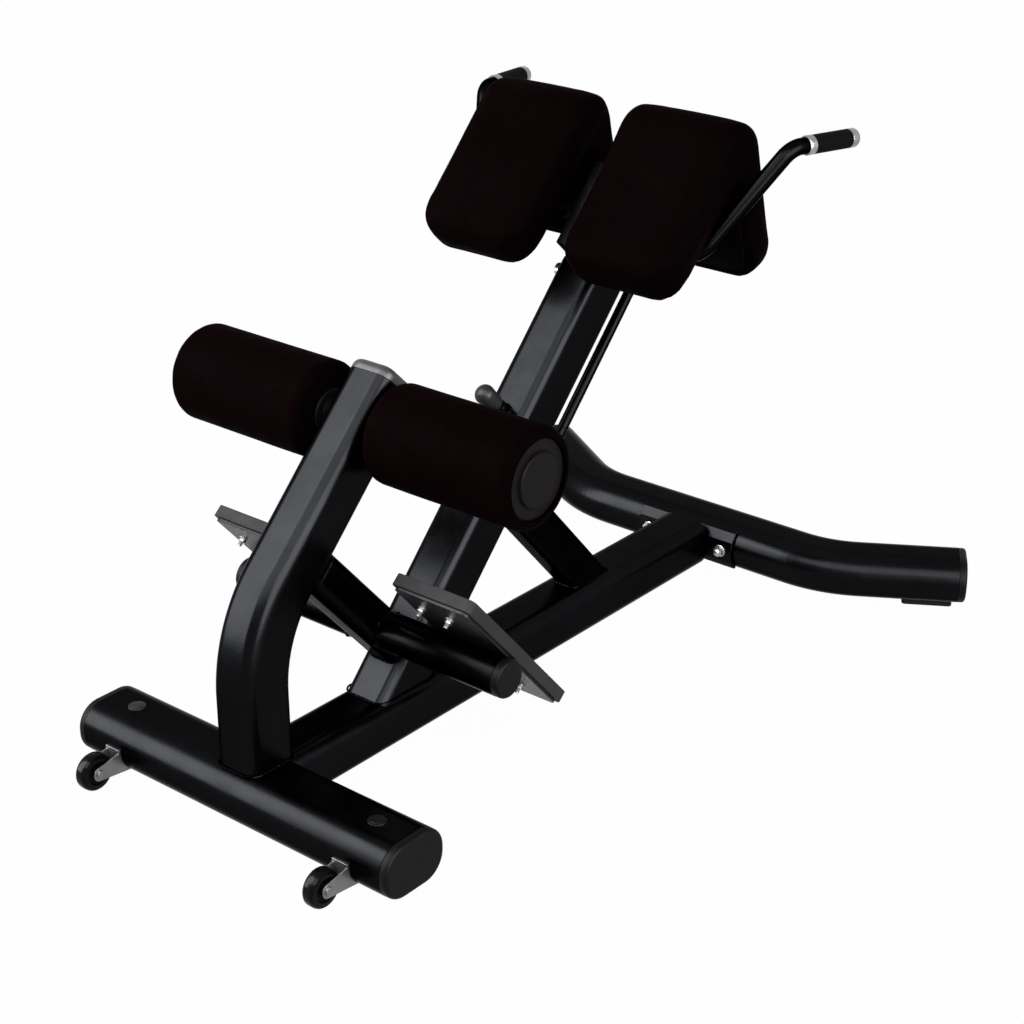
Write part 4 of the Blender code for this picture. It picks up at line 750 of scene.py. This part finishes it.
def rollers():
    for side, sign in sides.items():
        rollerSkin(side, sign)
        face = placed(axle + across * sign * (roller["seat"] + slitGap), across * sign)
        rim, r, t = disc["radius"], disc["ring"], disc["thick"]
        top = t + disc["boss"]
        profile = [(0, 0), (rim, 0), (rim, t * 0.55), (rim - 0.0009, t * 0.9), (rim - 0.0022, t),
                   (r + 0.0026, t), (r + 0.0018, t - 0.0007), (r + 0.0006, t - 0.0007),
                   (r, t + 0.0004), (r - 0.0004, top - 0.0012), (r - 0.0018, top), (0, top)]
        addPiece(f"roller_end_{side}", spun(bmesh.new(), profile, face, 96), discPlastic,
                 f"roller_{side}", (f"roller_disc_{side}",))
    line = placed(axle, across)
    profile = [(r, -z) for r, z in barHalf] + barHalf[::-1]
    addPiece("roller_bar", spun(bmesh.new(), profile, line), brightSteel, "frame",
             ("roller_axle",))
    for side, sign in sides.items():
        turned = spun(bmesh.new(), [(r, z * sign) for r, z in flange], line, 64, ring=True)
        addPiece(f"roller_flange_{side}", turned, capPlastic, "frame")


rollers()
print("stage 5: the rollers turn")


# pieces on the slanting post

slide = {"width": 0.0644, "height": 0.0764, "corner": 0.012, "low": 0.455, "top": 0.981}
guideBolt = {"drop": 0.014, "n": 0.024,
             "profile": ((0, 0), (0.0104, 0), (0.0104, 0.0052), (0.0096, 0.0074), (0.0072, 0.0092),
                         (0.0032, 0.0100), (0, 0.0100))}
lock = {"s": 0.570, "knob": 0.0158, "top": 0.120, "length": 0.046, "weld": 0.0135,
        "barrel": ((0.0066, 0), (0.0130, 0), (0.0130, 0.0030), (0.0122, 0.0036), (0.0122, 0.0195),
                   (0.0112, 0.0215), (0.0066, 0.0220))}
spring = {"n": -0.1095, "radius": 0.0085, "rod": 0.004, "low": 0.601, "lug": 0.946,
          "rodTop": 0.752, "nut": 0.0072, "nutHeight": 0.0060, "lugFaces": (-0.0003, 0.0063)}


def postPieces():
    refined("slide_guide", capPlastic, edge=0.0006)
    bm = withLug(barAlong(slide, [onPost(slide["low"], 0), onPost(slide["top"], 0)]), slide,
                 spring["lug"])
    addPiece("slide_skin", bm, powderCoat, "carriage", ("slide_tube",), 0.0008)
    spot = onPost(post["top"] - guideBolt["drop"], guideBolt["n"], -post["width"] / 2 - slitGap)
    addPiece("guide_bolt_head", spun(bmesh.new(), guideBolt["profile"], placed(spot, -across), 32),
             zincPlate, "frame", ("guide_bolt",))
    place = placed(onPost(lock["s"], post["height"] / 2 + slitGap), postOut)
    addPiece("lock_sleeve", spun(bmesh.new(), lock["barrel"], place, ring=True), powderCoat,
             "frame", ("lock_barrel",))
    weldBead("weld_lock", {"radius": lock["weld"]}, place)
    base = lock["top"] - lock["length"]
    place = placed(onPost(lock["s"], 0), postOut)
    pin = [(0, 0.0385), (0.0050, 0.0385), (0.0060, 0.0395), (0.0060, base + 0.0297),
           (0, base + 0.0297)]
    addPiece("lock_rod", spun(bmesh.new(), pin, place, 32), brightSteel, "lock", ("lock_pin",))
    # the knob: a waist with a domed end, hollow round the pin
    r, top = lock["knob"], lock["top"]
    profile = [(0.0063, base + 0.002), (0.0075, base), (r - 0.0042, base),
               (r - 0.0030, base + 0.001), (r - 0.0022, base + 0.004),
               (r - 0.0018, base + 0.012), (r - 0.0006, base + 0.026)]
    profile += [(r * math.cos(a), top - r * 0.8 + r * 0.8 * math.sin(a))
                for a in (math.radians(9 * i) for i in range(10))] + [(0, top)]
    profile += [(0, base + 0.030), (0.0063, base + 0.030)]
    addPiece("lock_handle", spun(bmesh.new(), profile, place, ring=True), knobPlastic, "lock",
             ("lock_knob",))


def gasSpring():
    place = placed(onPost(0, spring["n"]), postUp)
    rod, size, tall = spring["rod"], spring["nut"], spring["nutHeight"]

    def risen(s):
        return place @ Matrix.Translation((0, 0, s))

    # the rod stands on the post's lug, between two nuts
    low, high = (postLugS + off for off in spring["lugFaces"])
    bm = spun(bmesh.new(), [(0, high + 0.008), (rod, high + 0.008), (rod, spring["rodTop"]),
                            (0, spring["rodTop"])], place, 32)
    nut(bm, risen(high), size, tall)
    nut(bm, risen(low - tall), size, tall)
    stud(bm, risen(low - 0.0085), rod, 0.0215)
    addPiece("spring_rod", bm, ringSteel, "frame", ("gas_spring_rod",))
    # the cylinder hangs from the slide's lug, with one groove at each end
    low, high = (spring["lug"] + off for off in spring["lugFaces"])
    r, foot = spring["radius"], spring["low"]
    skin = [(0.0052, foot + 0.001), (r - 0.0016, foot), (r, foot + 0.0016), (r, foot + 0.0130),
            (r - 0.0006, foot + 0.0138), (r - 0.0006, foot + 0.0150), (r, foot + 0.0158),
            (r, low - 0.0200), (r - 0.0008, low - 0.0190), (r - 0.0008, low - 0.0180),
            (r, low - 0.0170), (r, low - 0.0060), (r - 0.0020, low - 0.0010), (0.0050, low),
            (0, low), (0, low - 0.014), (0.0052, low - 0.014)]
    bm = spun(bmesh.new(), skin, place, ring=True)
    # the cylinder wears the darker copy of the coat: painted shade
    addPiece("spring_body", bm, tubeCoatPaintedShade, "carriage", ("gas_spring_cylinder",))
    bm = nut(bmesh.new(), risen(high), size, tall)
    stud(bm, risen(low - 0.001), rod, 0.0165)
    addPiece("spring_top_nut", bm, zincPlate, "carriage", angle=28)


postPieces()
gasSpring()
print("stage 6: the post carries its slide, lock and gas spring")


# the two lobes of a pad and of its sheet: the way each runs to its free end, and its outward face
fold = math.radians(57.5)
lobeWays = (-postUp, -postUp * math.cos(fold) - postOut * math.sin(fold))
lobeFaces = (postOut, postUp * math.sin(fold) - postOut * math.cos(fold))
sheetCorner = 0.024
sheetEnd = 0.004  # edges this near to a lobe's end are its sheet's corners


# handle bar with its grips

handle = {"radius": 0.0127, "segments": 32, "s": 0.877, "n": 0.066, "elbow": 0.2107,
          "rise": (0.0825, 0.1907, 0.0257), "grip": (0.0223, 0.0752, -0.0894),
          "bends": (0.045, 0.035)}
sleeve = {"thick": 0.0015, "length": 0.078, "ring": 0.013, "plug": 0.0165}


def handleBar():
    right = [onPost(handle["s"], handle["n"], handle["elbow"])]
    for x, s, n in (handle["rise"], handle["grip"]):
        right.append(right[-1] + across * x + postUp * s + postOut * n)
    left = [Vector((-p.x, p.y, p.z)) for p in reversed(right)]
    elbow, top = handle["bends"]
    bm = barAlong(handle, left + right, (top, elbow, elbow, top), 10)
    # the handle wears the darker copy of the coat: painted shade
    addPiece("handle_tube", bm, tubeCoatPaintedShade, "carriage", ("handle_bar",))
    for side, sign in sides.items():
        line = right if sign > 0 else left[::-1]
        place = placed(line[-1], line[-1] - line[-2])
        bore = handle["radius"] + slitGap
        wide = bore + sleeve["thick"]
        low = -sleeve["length"]
        cover = [(bore, low), (wide - 0.0006, low), (wide, low + 0.0008), (wide, -0.0008),
                 (wide - 0.0006, 0), (bore, 0)]
        addPiece(f"grip_cover_{side}", spun(bmesh.new(), cover, place, ring=True), gripRubber,
                 "carriage", (f"grip_{side}",))
        high = low - slitGap
        foot = high - sleeve["ring"]
        ring = [(bore, foot), (wide - 0.0013, foot), (wide - 0.0001, foot + 0.0015),
                (wide + 0.0004, foot + 0.0027), (wide + 0.0004, high - 0.0006),
                (wide - 0.0002, high), (bore, high)]
        addPiece(f"grip_collar_{side}", spun(bmesh.new(), ring, place, ring=True), ringSteel,
                 "carriage", (f"grip_ring_{side}",))
        top = sleeve["plug"]
        end = [(0, slitGap), (wide, slitGap), (wide + 0.0002, 0.0012),
               (wide + 0.0002, top - 0.0042), (wide - 0.0008, top - 0.0018),
               (wide - 0.0040, top - 0.0004), (wide - 0.0048, top - 0.0008), (0, top - 0.0008)]
        addPiece(f"grip_end_{side}", spun(bmesh.new(), end, place), ringSteel, "carriage",
                 (f"grip_plug_{side}",))


def padBracket():
    # the sheets' free corners are rounded, to stay inside the pads
    bm = copyOf("pad_bracket")
    corners = []
    for face, way in zip(lobeFaces, lobeWays):
        far = max(v.co.dot(way) for v in bm.verts)
        corners += [e for e in edgesAlong(bm, face)
                    if all(far - v.co.dot(way) < sheetEnd for v in e.verts)]
    rounded(bm, corners, sheetCorner, 6)
    # the bracket wears the copy of the coat with painted shade, which darkens its reflection
    # between the pads
    addPiece("pad_bracket_shell", bm, paintedShadeCoat, "carriage", ("pad_bracket",), 0.0008)


handleBar()
padBracket()
print("stage 7: the handle bar and the pads' bracket are on")


# hip pads: the plain pad is drawn in, filled by a short cloth run, then smoothed

padFill = {"voxel": 0.0045, "pressure": 4.0, "frames": 20, "most": 0.0022, "clear": 0.002,
           "held": 0.014, "rounds": 10, "band": 0.058, "shrink": 0.5, "swell": 0.0050,
           "fade": 10, "crest": (0.955, 1.015), "front": (0.100, 0.120), "fill": 0.85}


def finalMesh(piece):
    return bpy.data.meshes.new_from_object(
        piece.evaluated_get(bpy.context.evaluated_depsgraph_get()))


def skinOf(side):
    # the pad's form as an even mesh of quads
    bm = copyOf(f"hip_pad_{side}")
    bmesh.ops.recalc_face_normals(bm, faces=bm.faces)
    form = linked("padForm", meshOf("padForm", bm))
    remesh = form.modifiers.new("skin", "REMESH")
    remesh.mode = "VOXEL"
    remesh.voxel_size = padFill["voxel"]
    soften = form.modifiers.new("soften", "SMOOTH")
    soften.iterations = 2
    skin = finalMesh(form)
    form.modifiers.clear()
    form.data = skin
    return form


def filledPad(side):
    form = skinOf(side)
    start = [v.co.copy() for v in form.data.vertices]
    cloth = form.modifiers.new("fill", "CLOTH")
    cloth.settings.use_pressure = True
    cloth.settings.uniform_pressure_force = padFill["pressure"]
    cloth.settings.effector_weights.gravity = 0
    cloth.point_cache.frame_end = padFill["frames"]
    for step in range(1, padFill["frames"] + 1):
        bpy.context.scene.frame_set(step)
    filled = finalMesh(form)
    form.modifiers.clear()
    bpy.context.scene.frame_set(1)
    form.data = filled
    # the cover moves a little at most, and not at all where it lies on its steel sheet
    bracket = bmesh.new()
    bracket.from_mesh(nodes["pad_bracket"].data)
    steel = BVHTree.FromBMesh(bracket)
    bracket.free()
    for v, spot in zip(form.data.vertices, start):
        move = v.co - spot
        if move.length > padFill["most"]:
            move *= padFill["most"] / move.length
        away = steel.find_nearest(spot)[3]
        v.co = spot + move * min(1.0, max(0.0, away - padFill["clear"]) / padFill["held"])
    bm = bmesh.new()
    bm.from_mesh(form.data)
    bpy.data.objects.remove(form)
    # one pass over it all, then more over the free ends, in bands that shrink to their tips
    tips = [max(v.co.dot(way) for v in bm.verts) for way in lobeWays]
    verts = list(bm.verts)
    for turn in range(padFill["rounds"]):
        bmesh.ops.smooth_vert(bm, verts=verts, factor=0.5, use_axis_x=True, use_axis_y=True,
                              use_axis_z=True)
        band = padFill["band"] * (1 - padFill["shrink"] * turn / padFill["rounds"])
        verts = [v for v in bm.verts
                 if any(tip - v.co.dot(way) < band for way, tip in zip(lobeWays, tips))]
    # the two cushions swell towards each other at their crest, in front of the bracket
    inner = min(v.co.x for v in bm.verts)
    for v in bm.verts:
        near = max(0.0, 1 - (v.co.x - inner) / (padFill["fade"] * padFill["swell"]))
        off = v.co - onPost(0, 0)
        shares = [min(1.0, max(0.0, (off.dot(way) - low) / (high - low)))
                  for way, (low, high) in ((postUp, padFill["crest"]), (postOut, padFill["front"]))]
        v.co.x -= padFill["swell"] * near * shares[0] * shares[1]
    return bm


def hipPads():
    right = filledPad("right")
    left = right.copy()
    bmesh.ops.scale(left, vec=(-1, 1, 1), verts=left.verts)
    bmesh.ops.reverse_faces(left, faces=left.faces)
    for side, bm in (("right", right), ("left", left)):
        made = addPiece(f"hip_cushion_{side}", bm, padVinyl, "carriage", (f"hip_pad_{side}",),
                        angle=180)
        finer = made.modifiers.new("finer", "SUBSURF")
        finer.levels = 1
        finer.render_levels = 1


hipPads()
print("stage 8: the hip pads are filled")


# the studio: a pale floor in front of a white background

paper = {"size": 14, "colour": (0.88, 0.88, 0.88), "roughness": 0.9, "specular": 0.1, "glow": 0.982}
# two plain lamps light the object, and three large cards only show as reflections in its coat
lamps = {
    "keyLamp": {"turn": -42, "rise": 33, "size": (2.6, 2.6), "watts": 150, "card": False},
    "fillLamp": {"turn": 51, "rise": 37, "size": (1.6, 1.6), "watts": 45, "card": False},
    "leftCard": {"turn": -45, "rise": 26, "size": (2.2, 4.9), "watts": 660, "card": True},
    "frontCard": {"turn": 10, "rise": 46, "size": (6.4, 3.0), "watts": 560, "card": True},
    "rightCard": {"turn": 80, "rise": 18, "size": (5.6, 3.4), "watts": 1100, "card": True},
}
lampAim = (0, 0, 0.40)
lampFar = 5.0
skyStrength = 0.32
white = (1, 1, 1, 1)


def whiteRays(tree):
    # one for every ray that shows the background: camera, glossy and transmission
    rays = tree.nodes.new("ShaderNodeLightPath")
    last = rays.outputs["Is Camera Ray"]
    for kind in ("Is Glossy Ray", "Is Transmission Ray"):
        made = tree.nodes.new("ShaderNodeMath")
        made.operation = "MAXIMUM"
        tree.links.new(last, made.inputs[0])
        tree.links.new(rays.outputs[kind], made.inputs[1])
        last = made.outputs[0]
    return last


def mixedInto(tree, output, factor, plain, seen):
    # rays that show the background get the seen shader, and all others the plain one
    mix = tree.nodes.new("ShaderNodeMixShader")
    for socket, source in zip(mix.inputs, (factor, plain, seen)):
        tree.links.new(source, socket)
    tree.links.new(mix.outputs["Shader"], tree.nodes[output].inputs["Surface"])


def studio():
    bm = bmesh.new()
    bmesh.ops.create_grid(bm, x_segments=1, y_segments=1, size=paper["size"])
    floor = linked("studioFloor", meshOf("studioFloor", bm))
    paint = bpy.data.materials.new("palePaper")
    paint.use_nodes = True
    tree = paint.node_tree
    shader = tree.nodes["Principled BSDF"]
    shader.inputs["Base Color"].default_value = (*paper["colour"], 1)
    shader.inputs["Roughness"].default_value = paper["roughness"]
    shader.inputs["Specular IOR Level"].default_value = paper["specular"]
    seen = tree.nodes.new("ShaderNodeMath")
    seen.operation = "MULTIPLY"
    seen.inputs[1].default_value = paper["glow"]
    tree.links.new(whiteRays(tree), seen.inputs[0])
    glow = tree.nodes.new("ShaderNodeEmission")
    glow.inputs["Color"].default_value = white
    mixedInto(tree, "Material Output", seen.outputs[0], shader.outputs["BSDF"],
              glow.outputs["Emission"])
    floor.data.materials.append(paint)


def wayTo(turn, rise):
    # the way from the object to a lamp or camera, by its turn from the front and its rise
    return Vector((math.sin(turn) * math.cos(rise), -math.cos(turn) * math.cos(rise),
                   math.sin(rise)))


def lighting():
    for name, lamp in lamps.items():
        light = bpy.data.lights.new(name, "AREA")
        light.shape = "RECTANGLE"
        light.size, light.size_y = lamp["size"]
        light.energy = lamp["watts"]
        holder = linked(name, light)
        holder.visible_diffuse = not lamp["card"]
        holder.visible_glossy = lamp["card"]
        toward = wayTo(math.radians(lamp["turn"]), math.radians(lamp["rise"]))
        holder.location = Vector(lampAim) + toward * lampFar
        holder.rotation_euler = toward.to_track_quat("Z", "Y").to_euler()
    world = bpy.data.worlds.new("studioSky")
    bpy.context.scene.world = world
    world.use_nodes = True
    tree = world.node_tree
    sky = tree.nodes["Background"]
    sky.inputs["Color"].default_value = white
    sky.inputs["Strength"].default_value = skyStrength
    seen = tree.nodes.new("ShaderNodeBackground")
    seen.inputs["Color"].default_value = white
    seen.inputs["Strength"].default_value = 1
    mixedInto(tree, "World Output", whiteRays(tree), sky.outputs["Background"],
              seen.outputs["Background"])


shot = {"turn": math.radians(39.50), "rise": math.radians(24.81), "lens": 74.79, "sensor": 36,
        "far": 60, "place": (1.9140, -1.7469, 1.6643)}


def photoCamera():
    data = bpy.data.cameras.new("photoCamera")
    data.lens = shot["lens"]
    data.sensor_width = shot["sensor"]
    data.clip_end = shot["far"]
    camera = linked("photoCamera", data)
    backward = wayTo(shot["turn"], shot["rise"])
    right = Vector((math.cos(shot["turn"]), math.sin(shot["turn"]), 0))
    pose = Matrix((right, backward.cross(right), backward)).transposed().to_4x4()
    pose.translation = at(*shot["place"])
    camera.matrix_world = pose
    bpy.context.scene.camera = camera


studio()
lighting()
photoCamera()
bpy.context.scene.view_settings.view_transform = "Standard"

bpy.context.view_layer.update()
